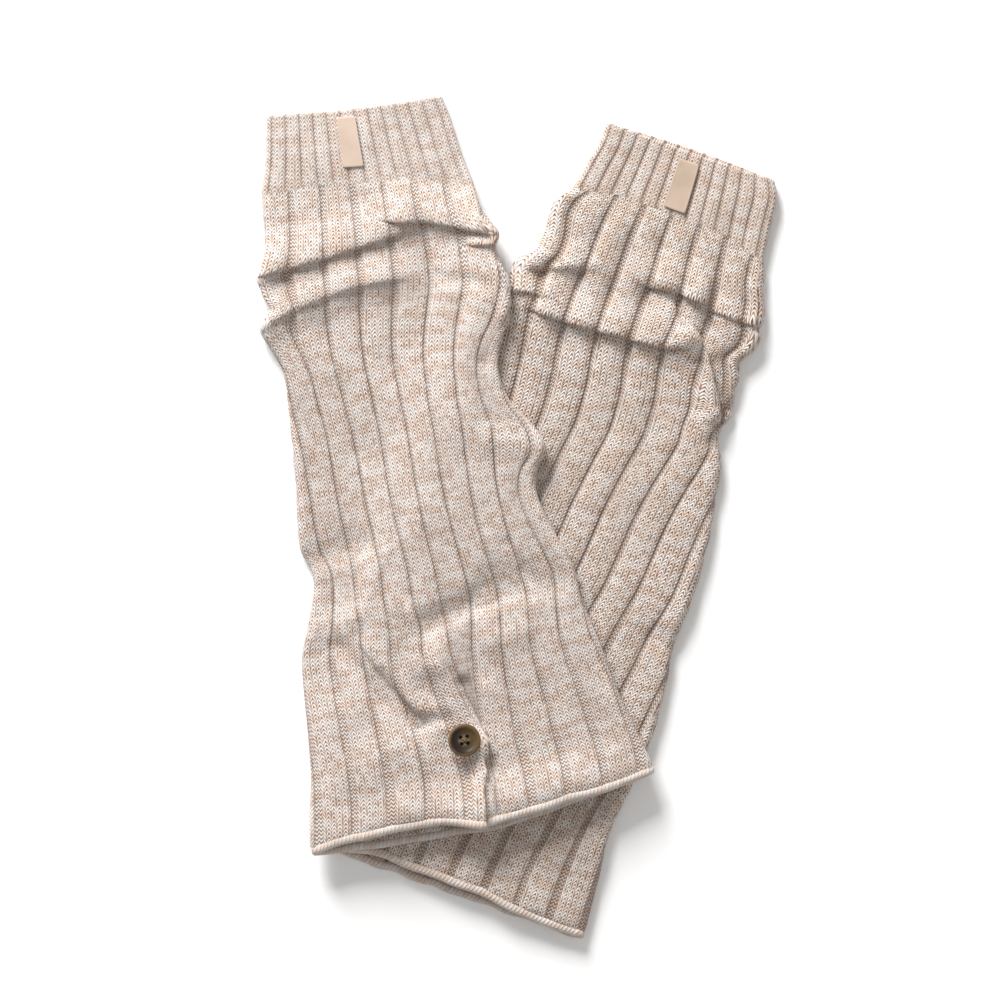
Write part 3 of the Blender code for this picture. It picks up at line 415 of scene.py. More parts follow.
@dataclass(frozen=True)
class KnitPattern:
    """How a stretch of the tube is knitted: its ribs, and how the grooves between them lie."""

    ribs: int              # round the whole tube
    wales: int             # stitches in one rib with its groove
    purl: int              # of those, the purl ones in the groove
    rise: float            # height of a rib over its groove
    closed: float          # half the groove's width in ribs, where the ribs have drawn together
    opened: float          # the same where they are stretched apart
    first_fine: int        # rib counts between which ribs are modelled finely
    last_fine: int
    offsets: tuple[float, ...]  # wales from a groove's middle at which points stand in each fine rib
    coarse: float          # columns of points in one rib elsewhere
    edge: float            # wales over which the steep side of a rib falls into its groove
    gentle: float          # wales past the groove over which the far side rises
    line: float            # how dark the painted shade along a groove is, from 0 to 1

    def columns(self) -> Array:
        """Set out the columns of points, fine on the ribs that show and coarse underneath.

        Returns:
            The wale count of each column.
        """
        ribs = np.arange(self.first_fine, self.last_fine)
        fine = (ribs[:, None] * self.wales + np.array(self.offsets)).ravel()
        end = self.last_fine * self.wales + self.offsets[0]
        hidden = self.ribs * self.wales - (end - fine[0])
        count = math.ceil(hidden / self.wales * self.coarse)
        return np.concatenate([fine, end + hidden * np.arange(count) / count])

    def rib_count(self, wales: Array, open_share: Array) -> Array:
        """Turn wale counts into rib counts, where a whole number is the middle of a groove.

        Within a groove its purl wales share the groove's width, and the knit wales share what is left.

        Args:
            wales: Wale counts.
            open_share: How far the grooves are stretched open, from 0 to 1.

        Returns:
            The rib counts.
        """
        whole = np.round(wales / self.wales)
        beside = wales - whole * self.wales
        half_groove = self.closed + (self.opened - self.closed) * open_share
        half_purl = self.purl / 2
        aside = np.abs(beside)
        in_groove = aside / half_purl * half_groove
        on_rib = half_groove + (aside - half_purl) / (self.wales / 2 - half_purl) * (0.5 - half_groove)
        return whole + np.sign(beside) * np.where(aside < half_purl, in_groove, on_rib)

    def relief(self, wales: Array) -> Array:
        """Height of the knit over the bottom of its grooves.

        A rounded rib falls steeply into the groove on its right, and the groove's purl wales rise gently to
        the next rib.

        Args:
            wales: Wale counts.

        Returns:
            Heights in metres.
        """
        beside = wales - np.round(wales / self.wales) * self.wales
        steep = smooth_step((self.edge / 2 - self.purl / 2 - beside) / self.edge)
        far = smooth_step((beside + self.purl / 2) / (self.purl + self.gentle))
        to_crown = np.clip(np.abs(beside) / (self.wales / 2), 0, 1)
        crown = CROWN_SIDE + (1 - CROWN_SIDE) * np.sin(math.pi * to_crown / 2)
        return self.rise * np.maximum(steep, far) * crown


@dataclass(frozen=True)
class WarmerShape:
    """The shape of one leg warmer's whole tube."""

    rings: tuple[Ring, ...]
    creases: tuple[Crease, ...]
    front_hem: tuple[tuple[float, float], ...]  # upper layer's edge: (share across, mm towards the hem)
    back_hem: tuple[tuple[float, float], ...]   # the same for the lower layer's edge
    button: tuple[float, float]                 # ring and share across at which the button lies
    ripple_turn: float                          # shifts the ripples, so that the two differ
    gape: float                                 # mm by which the hem's upper layer stands up in the middle
    tuck: tuple[tuple[float, float], ...]       # (ring, ribs that are hidden under the lap's edge)
    puff: tuple[tuple[float, float], ...]       # (ring, mm by which the ribs of the leg are rounded)
    lies_on: "WarmerShape | None" = None

    def table(self) -> Array:
        """List the rings as an array, each with its calm ends, its tuck and its puff.

        The calm ends are the rings' own, averaged with their neighbours' a few times over.

        Returns:
            One row for each ring.
        """
        rings = np.array(self.rings, dtype=float)
        calm = np.hstack([rings[:, LEFT], rings[:, RIGHT]])
        for _ in range(CALM_PASSES):
            calm[1:-1] = (calm[:-2] + 2 * calm[1:-1] + calm[2:]) / 4
        extra = [np.interp(np.arange(len(rings)), *zip(*line)) for line in (self.tuck, self.puff)]
        return np.concatenate([rings, calm, np.stack(extra, axis=1)], axis=1)

    def ring_points(
        self, rows: Array, share: Array, inset: float, relief: Array | float
    ) -> tuple[Array, Array, Array, Array]:
        """Points round flat rings, before folds and lift.

        A ring is a stadium: two straight runs joined by half circles.  `share` runs from 0 to 1 along the
        front from the left side fold to the right one, and on to 2 back along the underside. Away from the
        side folds a point eases over to where it would lie if they ran calmly.

        Args:
            rows: One table row for each ring.
            share: Shares round the ring, rings by columns.
            inset: How far in from the skin the ring lies.
            relief: How far points are moved out, at the top only.

        Returns:
            The points, the direction out of the ring, the direction towards the hem, and how much each
            point belongs to the top, from 0 to 1.
        """
        left, right = rows[:, None, LEFT] * MM, rows[:, None, RIGHT] * MM
        width = np.linalg.norm(right - left, axis=2)
        across = (right - left) / width[..., None]
        down = np.stack([across[..., 1], -across[..., 0]], axis=2)
        radius = TUBE_HEIGHT / 2 - inset
        quarter = radius * math.pi / 2
        flat = width - TUBE_HEIGHT
        front = share <= 1
        travel = np.where(front, share, 2 - share) * (flat + 2 * quarter)
        turn = (np.clip(quarter - travel, 0, None) - np.clip(travel - quarter - flat, 0, None)) / radius
        out_across = -np.sin(turn)
        out_up = np.where(front, 1, -1) * np.cos(turn)
        top = smooth_step((out_up + RIB_FADE) / (2 * RIB_FADE))
        offset = TUBE_HEIGHT / 2 + np.clip(travel - quarter, 0, flat) + out_across * (radius + relief * top)
        level = np.clip(offset / width, 0, 1)
        front_line, back_line = smooth_line(level, self.front_hem), smooth_line(level, self.back_hem)
        towards_hem = rows[:, BOW] * 4 * level * (1 - level)
        towards_hem += rows[:, HEM] * np.where(front, front_line, back_line)
        towards_hem += np.where(front, 0, rows[:, BACK] * np.sin(math.pi * level))
        shift = down * (towards_hem * MM)[..., None]
        plan = left + across * offset[..., None] + shift
        calm_left, calm_right = rows[:, None, CALM_LEFT] * MM, rows[:, None, CALM_RIGHT] * MM
        calm_plan = calm_left + (calm_right - calm_left) * level[..., None] + shift
        from_side = np.minimum(level, 1 - level) * width
        calmed = smooth_step((from_side - SIDE_NEAR) / (SIDE_FAR - SIDE_NEAR))[..., None]
        plan = plan + (calm_plan - plan) * calmed
        height = TUBE_HEIGHT / 2 + out_up * (radius + relief * top)
        points = np.concatenate([plan, height[..., None]], axis=2)
        outward = np.concatenate([across * out_across[..., None], out_up[..., None]], axis=2)
        down = np.concatenate([down, np.zeros_like(down[..., :1])], axis=2)
        return points, outward, np.broadcast_to(down, points.shape), top

    def crease_shape(self, x: Array, y: Array) -> tuple[Array, Array, Array]:
        """Rise of the cloth over all creases at points in plan, and how far it leans in x and in y.

        Over one crease's run the height is half of 1 + cos(pi d), where d is the distance from the crest
        over the run. Over its drop it is the same, or, where the crest leans far, a quarter of an ellipse,
        so that the lip is round and overhangs. It eases out at the crest's ends.

        Args:
            x: Positions along x.
            y: Positions along y.

        Returns:
            Rise, lean along x and lean along y.
        """
        rise, lean_x, lean_y = np.zeros_like(x), np.zeros_like(x), np.zeros_like(x)
        for crease in self.creases:
            chord_x, chord_y = (crease.end_x - crease.start_x) * MM, (crease.end_y - crease.start_y) * MM
            length = math.hypot(chord_x, chord_y)
            from_x, from_y = x - crease.start_x * MM, y - crease.start_y * MM
            along = (from_x * chord_x + from_y * chord_y) / length**2
            aside = (from_x * chord_y - from_y * chord_x) / length
            beyond = aside - crease.sag * MM * 4 * along * (1 - along)
            reach = np.where(beyond < 0, crease.run, crease.drop) * MM
            beyond = np.clip(beyond / reach, -1, 1)
            hump = 0.5 + 0.5 * np.cos(math.pi * beyond)
            if crease.lean > LIP_LEAN:
                hump = np.where(beyond > 0, np.sqrt(1 - beyond**2), hump)
            hump = hump * smooth_step(along / FOLD_END) * smooth_step((1 - along) / FOLD_END)
            rise += crease.height * MM * hump
            lean_x += crease.lean * MM * hump * chord_y / length
            lean_y -= crease.lean * MM * hump * chord_x / length
        return rise, lean_x, lean_y

    def ripple(self, x: Array, y: Array) -> Array:
        """Soft unevenness of the cloth: a sum of low sine waves across the plan.

        Args:
            x: Positions along x.
            y: Positions along y.

        Returns:
            The rise at each point.
        """
        rise = np.zeros_like(x)
        for length, turn, height in RIPPLES:
            angle = math.radians(turn + self.ripple_turn)
            phase = (x * math.cos(angle) + y * math.sin(angle)) / (length * MM)
            rise += height * MM * np.sin(2 * math.pi * phase + turn)
        return rise

    def climb(self, x: Array, y: Array) -> Array | float:
        """How high this leg warmer is lifted by the one beneath it.

        A smooth ramp over the lower one's side fold, and a low dome over its button.

        Args:
            x: Positions along x.
            y: Positions along y.

        Returns:
            The lift at each point.
        """
        if self.lies_on is None:
            return 0.0
        start, end = self.lies_on.rings[COVERED_FROM], self.lies_on.rings[-1]
        run_x, run_y = end.left_x - start.left_x, end.left_y - start.left_y
        length = math.hypot(run_x, run_y)
        inside = ((y - start.left_y * MM) * run_x - (x - start.left_x * MM) * run_y) / length
        place, level = self.lies_on.button
        button = self.lies_on.front_points(np.array([place]), np.array([level]), 0.0)[0]
        from_button = np.hypot(x - button[0], y - button[1])
        dome = smooth_step((DOME_FOOT - from_button) / (DOME_FOOT - DOME_FLAT))
        ramp = smooth_step((inside - CLIMB_FROM) / (CLIMB_TO - CLIMB_FROM))
        return CLIMB_HEIGHT * ramp + DOME_HEIGHT * dome

    def mouth(self, x: Array, y: Array) -> Array:
        """How far the upper layer stands off the lower one, most at the middle of the hem.

        The lift is `gape`, times a half sine wave along the last ring, eased out over the reach.

        Args:
            x: Positions along x.
            y: Positions along y.

        Returns:
            The lift at each point.
        """
        end = self.rings[-1]
        run_x, run_y = (end.right_x - end.left_x) * MM, (end.right_y - end.left_y) * MM
        length = math.hypot(run_x, run_y)
        from_x, from_y = x - end.left_x * MM, y - end.left_y * MM
        along = np.clip((from_x * run_x + from_y * run_y) / length**2, 0.0, 1.0)
        from_hem = (from_y * run_x - from_x * run_y) / length
        return self.gape * MM * smooth_step(1 - from_hem / GAPE_REACH) * np.sin(math.pi * along)

    def settle(self, points: Array, top: Array, inside: bool = False) -> Array:
        """Lay points in their creases, and on the other leg warmer where it lies beneath.

        Args:
            points: Points of flat rings.
            top: How much each point belongs to the top.
            inside: True for the inner skin, which follows troughs to a depth and crests only a little.

        Returns:
            The points in place.
        """
        x, y, z = points[..., 0], points[..., 1], points[..., 2]
        rise, lean_x, lean_y = self.crease_shape(x, y)
        if inside:
            rise = np.minimum(rise, 0) + FOLD_INSIDE * np.maximum(rise, 0)
            lean_x, lean_y = np.zeros_like(x), np.zeros_like(x)
        rise = np.maximum(rise + self.ripple(x, y), -TROUGH_INSIDE if inside else -TROUGH_OUTSIDE)
        rise = rise + self.mouth(x, y)
        x, y, z = x + lean_x * top, y + lean_y * top, z + rise * top
        return np.stack([x, y, z + self.climb(x, y)], axis=-1)

    def front_points(
        self, places: Array, levels: Array, height: float | Array, settled: bool = False
    ) -> Array:
        """Points over the front of the tube.

        Args:
            places: Ring numbers, one for each point.
            levels: Shares across the tube's width, one for each point.
            height: How far over the bottom of the grooves the points lie.
            settled: True to lay the points in the creases and on the other leg warmer.

        Returns:
            Points, one row each.
        """
        rows = rings_at(self.table(), places)
        width = np.linalg.norm(rows[:, RIGHT] - rows[:, LEFT], axis=1) * MM
        quarter = TUBE_HEIGHT / 2 * math.pi / 2
        share = (levels * width - TUBE_HEIGHT / 2 + quarter) / (width - TUBE_HEIGHT + 2 * quarter)
        relief = np.broadcast_to(height, levels.shape)[:, None]
        points, _, _, top = self.ring_points(rows, share[:, None], 0.0, relief)
        return (self.settle(points, top) if settled else points)[:, 0]


def count_courses(points: Array) -> Array:
    """Count the courses over a grid of points whose columns run along the wales.

    The count whose steps come nearest, by least squares, to the cloth's own: down a column, the length of
    the step over a course, and from column to column, the part of the step that runs along the wale. Both
    are differences, so the sum is solved at once by a Fourier transform of the grid, mirrored at its first
    and last row.

    Args:
        points: Grid of points, rows by columns by 3, where each row is a closed ring.

    Returns:
        The count at each point, 0 on the mean of the first row.
    """
    steps = np.diff(points, axis=0)
    lengths = np.linalg.norm(steps, axis=2)
    wale = np.gradient(points, axis=0)
    wale /= np.linalg.norm(wale, axis=2, keepdims=True)
    across = np.sum((np.roll(points, -1, axis=1) - points) * wale, axis=2) / COURSE
    across -= across.mean(axis=1, keepdims=True)
    flow = np.pad(lengths / COURSE, ((1, 1), (0, 0)))
    wanted = flow[:-1] - flow[1:] + EVEN_COURSES * (np.roll(across, 1, axis=1) - across)
    rows, columns = wanted.shape
    row_wave = 2 - 2 * np.cos(math.pi * np.arange(2 * rows) / rows)
    column_wave = 2 - 2 * np.cos(2 * math.pi * np.arange(columns) / columns)
    weight = row_wave[:, None] + EVEN_COURSES * column_wave
    weight[0, 0] = 1.0
    waves = np.fft.fft2(np.concatenate([wanted, wanted[::-1]])) / weight
    waves[0, 0] = 0.0
    count = np.fft.ifft2(waves).real[:rows]
    return count - count[0].mean()


def pulled_in(rows: Array) -> Array:
    """Bring the side folds of rings a little nearer each other, for the inner skin.

    Args:
        rows: One table row for each ring.

    Returns:
        The changed rows.
    """
    rows = rows.copy()
    across = rows[:, RIGHT] - rows[:, LEFT]
    across = across / np.linalg.norm(across, axis=1, keepdims=True) * INNER_FOLD_SPACE / MM
    rows[:, LEFT] += across
    rows[:, RIGHT] -= across
    return rows


class Graph:
    """A material's node tree, with short ways to add the nodes that a finish needs."""

    def __init__(self, name: str) -> None:
        """Start a material with a bare Principled shader.

        Args:
            name: The material's name.
        """
        self.material = bpy.data.materials.new(name)
        self.material.use_nodes = True
        self.nodes = self.material.node_tree.nodes
        self.links = self.material.node_tree.links
        self.shader = self.nodes["Principled BSDF"]

    def put(self, node: bpy.types.Node, index: int | str, value: object) -> None:
        """Link a signal to a node's input, or set the input to a constant.

        Args:
            node: The node.
            index: Which of its inputs.
            value: The signal or the constant.
        """
        if isinstance(value, Signal):
            self.links.new(value.socket, node.inputs[index])
        else:
            node.inputs[index].default_value = value

    def math(self, operation: str, *values: object) -> "Signal":
        """Add a Math node.

        Args:
            operation: What it works out.
            *values: Signals or constants for its inputs, in order.

        Returns:
            The node's result.
        """
        node = self.nodes.new("ShaderNodeMath")
        node.operation = operation
        for index, value in enumerate(values):
            self.put(node, index, value)
        return Signal(self, node.outputs[0])

    def step(self, value: "Signal", low: float, high: float) -> "Signal":
        """Ease from 0 to 1 as a value goes from one number to another.

        Args:
            value: The value.
            low: The number at which the result is 0.
            high: The number at which it is 1.

        Returns:
            The share.
        """
        node = self.nodes.new("ShaderNodeMapRange")
        node.interpolation_type = "SMOOTHSTEP"
        self.put(node, "Value", value)
        node.inputs["From Min"].default_value = low
        node.inputs["From Max"].default_value = high
        return Signal(self, node.outputs["Result"])

    def blend(self, share: "Signal", low: object, high: object) -> "Signal":
        """Blend two numbers by a share."""
        return self.math("ADD", low, self.math("MULTIPLY", share, self.math("SUBTRACT", high, low)))

    def paint(self, share: "Signal", low: object, high: object) -> "Signal":
        """Blend two colours.

        Args:
            share: How much of the second colour there is, from 0 to 1.
            low: The first colour, a signal or a constant.
            high: The second one.

        Returns:
            The blend.
        """
        node = self.nodes.new("ShaderNodeMix")
        node.data_type = "RGBA"
        self.put(node, MIX_SHARE, share)
        for index, value in ((MIX_FIRST, low), (MIX_SECOND, high)):
            self.put(node, index, value if isinstance(value, Signal) else (*value, 1.0))
        return Signal(self, node.outputs[MIX_RESULT])

    def vector(self, x: object, y: object, z: object) -> "Signal":
        """Join three numbers into a vector.

        Args:
            x: The first one, a signal or a constant.
            y: The second one.
            z: The third one.

        Returns:
            The vector.
        """
        node = self.nodes.new("ShaderNodeCombineXYZ")
        for index, value in enumerate((x, y, z)):
            self.put(node, index, value)
        return Signal(self, node.outputs[0])

    def split(self, vector: "Signal") -> tuple["Signal", "Signal", "Signal"]:
        """Part a vector into its three numbers.

        Args:
            vector: The vector.

        Returns:
            The numbers.
        """
        node = self.nodes.new("ShaderNodeSeparateXYZ")
        self.put(node, 0, vector)
        return Signal(self, node.outputs[0]), Signal(self, node.outputs[1]), Signal(self, node.outputs[2])

    def noise(self, place: "Signal", scale: float, detail: float = 2.0, roughness: float = 0.5) -> "Signal":
        """Smooth noise around 0.5.

        Args:
            place: Where to read it.
            scale: How close its patches are.
            detail: How many finer layers it has.
            roughness: How strong each finer layer is.

        Returns:
            The noise.
        """
        node = self.nodes.new("ShaderNodeTexNoise")
        self.put(node, "Vector", place)
        node.inputs["Scale"].default_value = scale
        node.inputs["Detail"].default_value = detail
        node.inputs["Roughness"].default_value = roughness
        return Signal(self, node.outputs[0])

    def patches(self, wale: "Signal", course: "Signal", kind: "Patches") -> "Signal":
        """Smooth noise that follows the knit: of wale times `across`, course times `along`, and the seed."""
        place = self.vector(wale * kind.across, course * kind.along, kind.seed)
        return self.noise(place, 1.0, kind.detail, kind.roughness)

    def eased(self, wale: "Signal", course: "Signal", kind: "Patches") -> "Signal":
        """The same noise, eased into a share between its two bounds."""
        return self.step(self.patches(wale, course, kind), kind.low, kind.high)

    def grains(self, place: "Signal") -> "Signal":
        """An unrelated number from 0 to 1 for each place.

        Args:
            place: The place.

        Returns:
            The number.
        """
        node = self.nodes.new("ShaderNodeTexWhiteNoise")
        node.noise_dimensions = "3D"
        self.put(node, "Vector", place)
        return Signal(self, node.outputs["Value"])

    def object_place(self) -> "Signal":
        """Position on the piece, in metres."""
        return Signal(self, self.nodes.new("ShaderNodeTexCoord").outputs["Object"])

    def knit_place(self) -> tuple["Signal", "Signal"]:
        """Read the piece's own UV map.

        Returns:
            Wale count and course count.
        """
        node = self.nodes.new("ShaderNodeUVMap")
        node.uv_map = "knit"
        return self.split(Signal(self, node.outputs["UV"]))[:2]

    def own(self, name: str) -> "Signal":
        """Read an attribute of the piece.

        Args:
            name: The attribute's name.

        Returns:
            Its value.
        """
        node = self.nodes.new("ShaderNodeAttribute")
        node.attribute_name = name
        return Signal(self, node.outputs["Fac"])

    def bump(self, height: "Signal", depth: float) -> None:
        """Let a height tilt the surface as relief would.

        Args:
            height: The height, from 0 to 1.
            depth: How deep the relief is.
        """
        node = self.nodes.new("ShaderNodeBump")
        node.inputs["Distance"].default_value = depth
        self.put(node, "Height", height)
        self.links.new(node.outputs["Normal"], self.shader.inputs["Normal"])

    def finish(self, **inputs: object) -> bpy.types.Material:
        """Set the shader's inputs.

        Args:
            **inputs: Signals or constants, each under its input's name with _ for a space.

        Returns:
            The material.
        """
        for name, value in inputs.items():
            value = (*value, 1.0) if isinstance(value, tuple) else value
            self.put(self.shader, name.replace("_", " "), value)
        return self.material


@dataclass(frozen=True)
class Signal:
    """One output of a node, with arithmetic that adds Math nodes."""

    graph: Graph
    socket: bpy.types.NodeSocket

    def __add__(self, other: object) -> "Signal":
        """Sum."""
        return self.graph.math("ADD", self, other)

    def __radd__(self, other: object) -> "Signal":
        """Sum."""
        return self.graph.math("ADD", other, self)

    def __sub__(self, other: object) -> "Signal":
        """Difference."""
        return self.graph.math("SUBTRACT", self, other)

    def __rsub__(self, other: object) -> "Signal":
        """Difference."""
        return self.graph.math("SUBTRACT", other, self)

    def __mul__(self, other: object) -> "Signal":
        """Product."""
        return self.graph.math("MULTIPLY", self, other)

    def __rmul__(self, other: object) -> "Signal":
        """Product."""
        return self.graph.math("MULTIPLY", other, self)

    def __pow__(self, power: float) -> "Signal":
        """Power."""
        return self.graph.math("POWER", self, power)

    def floor(self) -> "Signal":
        """The whole number at or under it."""
        return self.graph.math("FLOOR", self)

    def fraction(self) -> "Signal":
        """What is left over its floor."""
        return self.graph.math("FRACT", self)

    def size(self) -> "Signal":
        """Its size without its sign."""
        return self.graph.math("ABSOLUTE", self)

    def arch(self) -> "Signal":
        """4 x (1 - x): an arch from 0 through 1 at the middle and back, for x from 0 to 1."""
        return 4.0 * self * (1.0 - self)

    def wave(self) -> "Signal":
        """cos(2 pi x): a wave with its crests at whole numbers."""
        return self.graph.math("COSINE", self * (2 * math.pi))


@dataclass(frozen=True)
class Patches:
    """Smooth noise over the counts of wales and courses."""

    across: float          # patches for each wale
    along: float           # patches for each course
    seed: float            # sets one noise apart from another
    detail: float = 1.0
    roughness: float = 0.5
    low: float = 0.3       # bounds between which it is eased, where it gives a share
    high: float = 0.6


SWAY = Patches(0.7, 0.30, 17.0)                   # how the rows of stitches wander
LOOSENESS = Patches(0.8, 0.8, 7.0, high=0.65)     # how open the stitches are
DASHES = Patches(5.3, 0.45, 29.0, low=0.38, high=0.62)  # where the channel between two wales is deep
BREAKS = Patches(0.1, 0.33, 41.0, detail=2.0)     # where the painted shade along a groove is strong
SLUBS = Patches(0.21, 0.44, 3.0, detail=2.0, roughness=0.58)  # long flecks of tan along the courses
RUNS = Patches(0.6, 7.31, 11.0)                   # flecks of a few stitches, apart from row to row


class Stitch(Enum):
    """The kinds of knitted surface that the yarn is worked into."""

    LEG = "wide ribs"
    CUFF = "narrow ribs"
    ROLL = "rolled edge"


@dataclass(frozen=True)
class Surface:
    """How the yarn shows in one kind of surface."""

    tone: float            # how light it is next to the leg's
    depth: float           # how deep its stitches are
    spread: float = 0.0    # how much the step from cream to tan is softened
    gap_shade_from: float = 0.1  # height of a stitch up to which it takes the gaps' painted shade
    tan_channel_shade: float = 0.5  # how much more painted shade the channel between wales has where the yarn is tan


class Relief(NamedTuple):
    """What the knit's stitches give to the material."""

    height: Signal         # from 0 to 1
    leg: Signal            # a number for each leg of a stitch
    row: Signal            # a number for each course
    line: Signal | None = None     # share of painted shade along a groove's side and over its purl stitches
    channel: Signal | None = None  # share of painted shade between two wales


@dataclass(frozen=True)
class MarlYarn:
    """Cream yarn with tan flecks, knitted: V stitches on the ribs and purl bumps in the grooves."""

    letter: str
    cream: Colour
    peach: Colour
    # Painted shade in the gaps between stitches: grey in cream yarn, and in tan yarn a dark tan that is
    # partly the yarn's own
    grey_gap_shade: Colour = (0.27, 0.22, 0.185)
    tan_gap_shade: Colour = (0.20, 0.10, 0.055)
    # Painted shade along the line where a rib's steep side meets its groove
    groove: Colour = (0.15, 0.07, 0.034)
    stitch_depth: float = 0.52 * MM
    cuff_depth: float = 0.35 * MM
    cuff_shade_tone: float = 0.93     # painted shade: how much darker the cuff is than the leg, against the stronger light at the top; and how light the roll is
    roll_tone: float = 0.87
    purl_shade: float = 0.16          # painted shade on the grooves' purl stitches beside the ribs'
    fleck_low: float = 0.44     # bounds between which the mixed noise turns from cream to tan
    fleck_high: float = 0.57
    slub_share: float = 0.63    # what slubs, runs and single specks give to that noise
    run_share: float = 0.26
    speck_share: float = 0.11
    slant: float = 1.1          # courses that a stitch's legs slope over half a wale
    sway: float = 0.5           # courses by which the rows of stitches wander
    narrow_gap: float = 1.5     # higher is a narrower gap between one row's legs and the next's
    eye: float = 0.42           # share of half a wale that the opening under a stitch's tip takes
    least_eye: float = 0.35     # how deep that opening is in the tightest stitches
    between: float = 0.5        # how deep it is between two legs beside that opening
    channel: float = 0.45       # how deep the channel between two wales is
    least_channel: float = 0.2  # share of it that is left between its dashes
    channel_shade: float = 0.28  # how much of the gap's tan shows in it
    purl_wave: float = 0.28     # courses by which a purl stitch waves
    purl_high: float = 0.9      # height of a purl stitch next to a knit one's
    nibble: float = 0.2         # wales by which the stitches nibble at the line along a groove
    strands: float = 1.35       # stitches of the roll for each wale along it
    twist: float = 0.3          # how much they slant round it

    def surface(self, stitch: Stitch) -> Surface:
        """How the yarn shows in each kind of surface."""
        return {
            Stitch.LEG: Surface(1.0, self.stitch_depth),
            Stitch.CUFF: Surface(self.cuff_shade_tone, self.cuff_depth, 0.035, -0.1, 0.3),
            Stitch.ROLL: Surface(self.roll_tone, self.stitch_depth),
        }[stitch]

    def material(self, stitch: Stitch, pattern: KnitPattern | None = None) -> bpy.types.Material:
        """Build the material for one kind of knitted surface.

        Args:
            stitch: The kind of surface.
            pattern: How its ribs are knitted, apart from on a rolled edge.

        Returns:
            The material.
        """
        graph = Graph(f"marl_{self.letter}_{stitch.name.lower()}")
        surface = self.surface(stitch)
        wale, course = graph.knit_place()
        knit = self.ribbing(graph, wale, course, pattern) if pattern else self.rope(wale, course)
        fleck = self.flecks(graph, wale, course, knit, surface.spread)
        # Painted shade: the low parts of the stitches take the gaps' darker colours
        gap = graph.paint(fleck, self.grey_gap_shade, self.tan_gap_shade)
        cream = tuple(value * surface.tone for value in self.cream)
        peach = tuple(value * surface.tone for value in self.peach)
        yarn = graph.paint(fleck, cream, peach)
        colour = graph.paint(graph.step(knit.height, surface.gap_shade_from, 0.88), gap, yarn)
        if pattern:
            # Painted shade between the wales, and along each groove's line and over its purl stitches
            wale_channel_shade = knit.channel * (self.channel_shade + surface.tan_channel_shade * fleck)
            colour = graph.paint(wale_channel_shade, colour, self.tan_gap_shade)
            colour = graph.paint(knit.line, colour, self.groove)
        graph.bump(knit.height, surface.depth)
        return graph.finish(
            Base_Color=colour,
            Roughness=0.92,
            Specular_IOR_Level=0.2,
            Sheen_Weight=0.15,
            Sheen_Roughness=0.5,
        )

    def ribbing(self, graph: Graph, wale: Signal, course: Signal, pattern: KnitPattern) -> Relief:
        """Work out knit and purl stitches.

        A knit stitch is two slanting legs that meet at the wale's middle. Rows of legs are parted by a wave
        along the course, deepest in the opening under the stitch's tip, and wales by a channel that is deep
        for a stitch or two and shallow for the next. A purl stitch is a wavy arch across the wale.

        Args:
            graph: The material's nodes.
            wale: Wale count.
            course: Course count.
            pattern: How the ribs are knitted.

        Returns:
            The stitches' relief, and the painted shade along the grooves and between wales.
        """
        from_middle = 2.0 * (wale - graph.math("ROUND", wale)).size()
        row = course + self.sway * (graph.patches(wale, course, SWAY) - 0.5) - self.slant * from_middle
        gap = (0.5 + 0.5 * row.wave()) ** self.narrow_gap
        open_share = self.least_eye + (1.0 - self.least_eye) * graph.eased(wale, course, LOOSENESS)
        eye = (1.0 - graph.step(from_middle, 0.1, self.eye)) * open_share
        dash = self.least_channel + (1.0 - self.least_channel) * graph.eased(wale.floor(), course, DASHES)
        channel = graph.step(from_middle, 0.66, 0.98) * dash
        leg = 1.0 - gap * (self.between + (1.0 - self.between) * eye)
        leg = leg - self.channel * channel * (1.0 - 0.5 * gap)
        purl_row = course + self.purl_wave * wale.wave()
        purl = purl_row.fraction().arch() ** 0.9 * self.purl_high
        groove = (wale * (1.0 / pattern.wales) + 0.5).fraction() - 0.5
        half_purl = pattern.purl / 2
        on_rib = graph.step(groove.size() * float(pattern.wales), half_purl - 0.1, half_purl + 0.1)
        height = graph.blend(on_rib, purl, leg)
        # Painted shade: a dark line where a rib's steep side meets its groove, stronger where the groove is
        # drawn together, and darker purl stitches in the groove
        closed = graph.own("closed")
        strength = pattern.line * (0.4 + 0.5 * closed) * (0.35 + 0.65 * graph.eased(wale, course, BREAKS))
        from_line = (groove * float(pattern.wales) + half_purl - self.nibble * course.wave()).size()
        shadow = strength * (1.0 - graph.step(from_line, 0.05, 0.45))
        line = graph.math("MAXIMUM", shadow, self.purl_shade * (1.0 - on_rib) * (1.2 - closed))
        row_number = graph.blend(on_rib, purl_row.floor(), row.floor())
        return Relief(height, (2.0 * wale).floor(), row_number, line, channel * on_rib)

    def rope(self, wale: Signal, course: Signal) -> Relief:
        """Work out the slanting stitches round a rolled edge: one arch for each."""
        strand = wale * self.strands + course * self.twist
        return Relief(0.5 + 0.5 * strand.fraction().arch() ** 0.6, strand.floor(), strand.floor())

    def flecks(self, graph: Graph, wale: Signal, course: Signal, knit: Relief, spread: float) -> Signal:
        """Share of tan in the yarn: slubs that run along the courses, runs of a few stitches, and specks.

        Args:
            graph: The material's nodes.
            wale: Wale count.
            course: Course count.
            knit: The stitches' relief.
            spread: How much the step from cream to tan is softened.

        Returns:
            The share, from 0 to 1.
        """
        mixed = self.slub_share * graph.patches(wale, course, SLUBS)
        mixed = mixed + self.run_share * graph.patches(wale, knit.row, RUNS)
        mixed = mixed + self.speck_share * graph.grains(graph.vector(knit.leg, knit.row, 5.0))
        return graph.step(mixed, self.fleck_low - spread, self.fleck_high + spread)


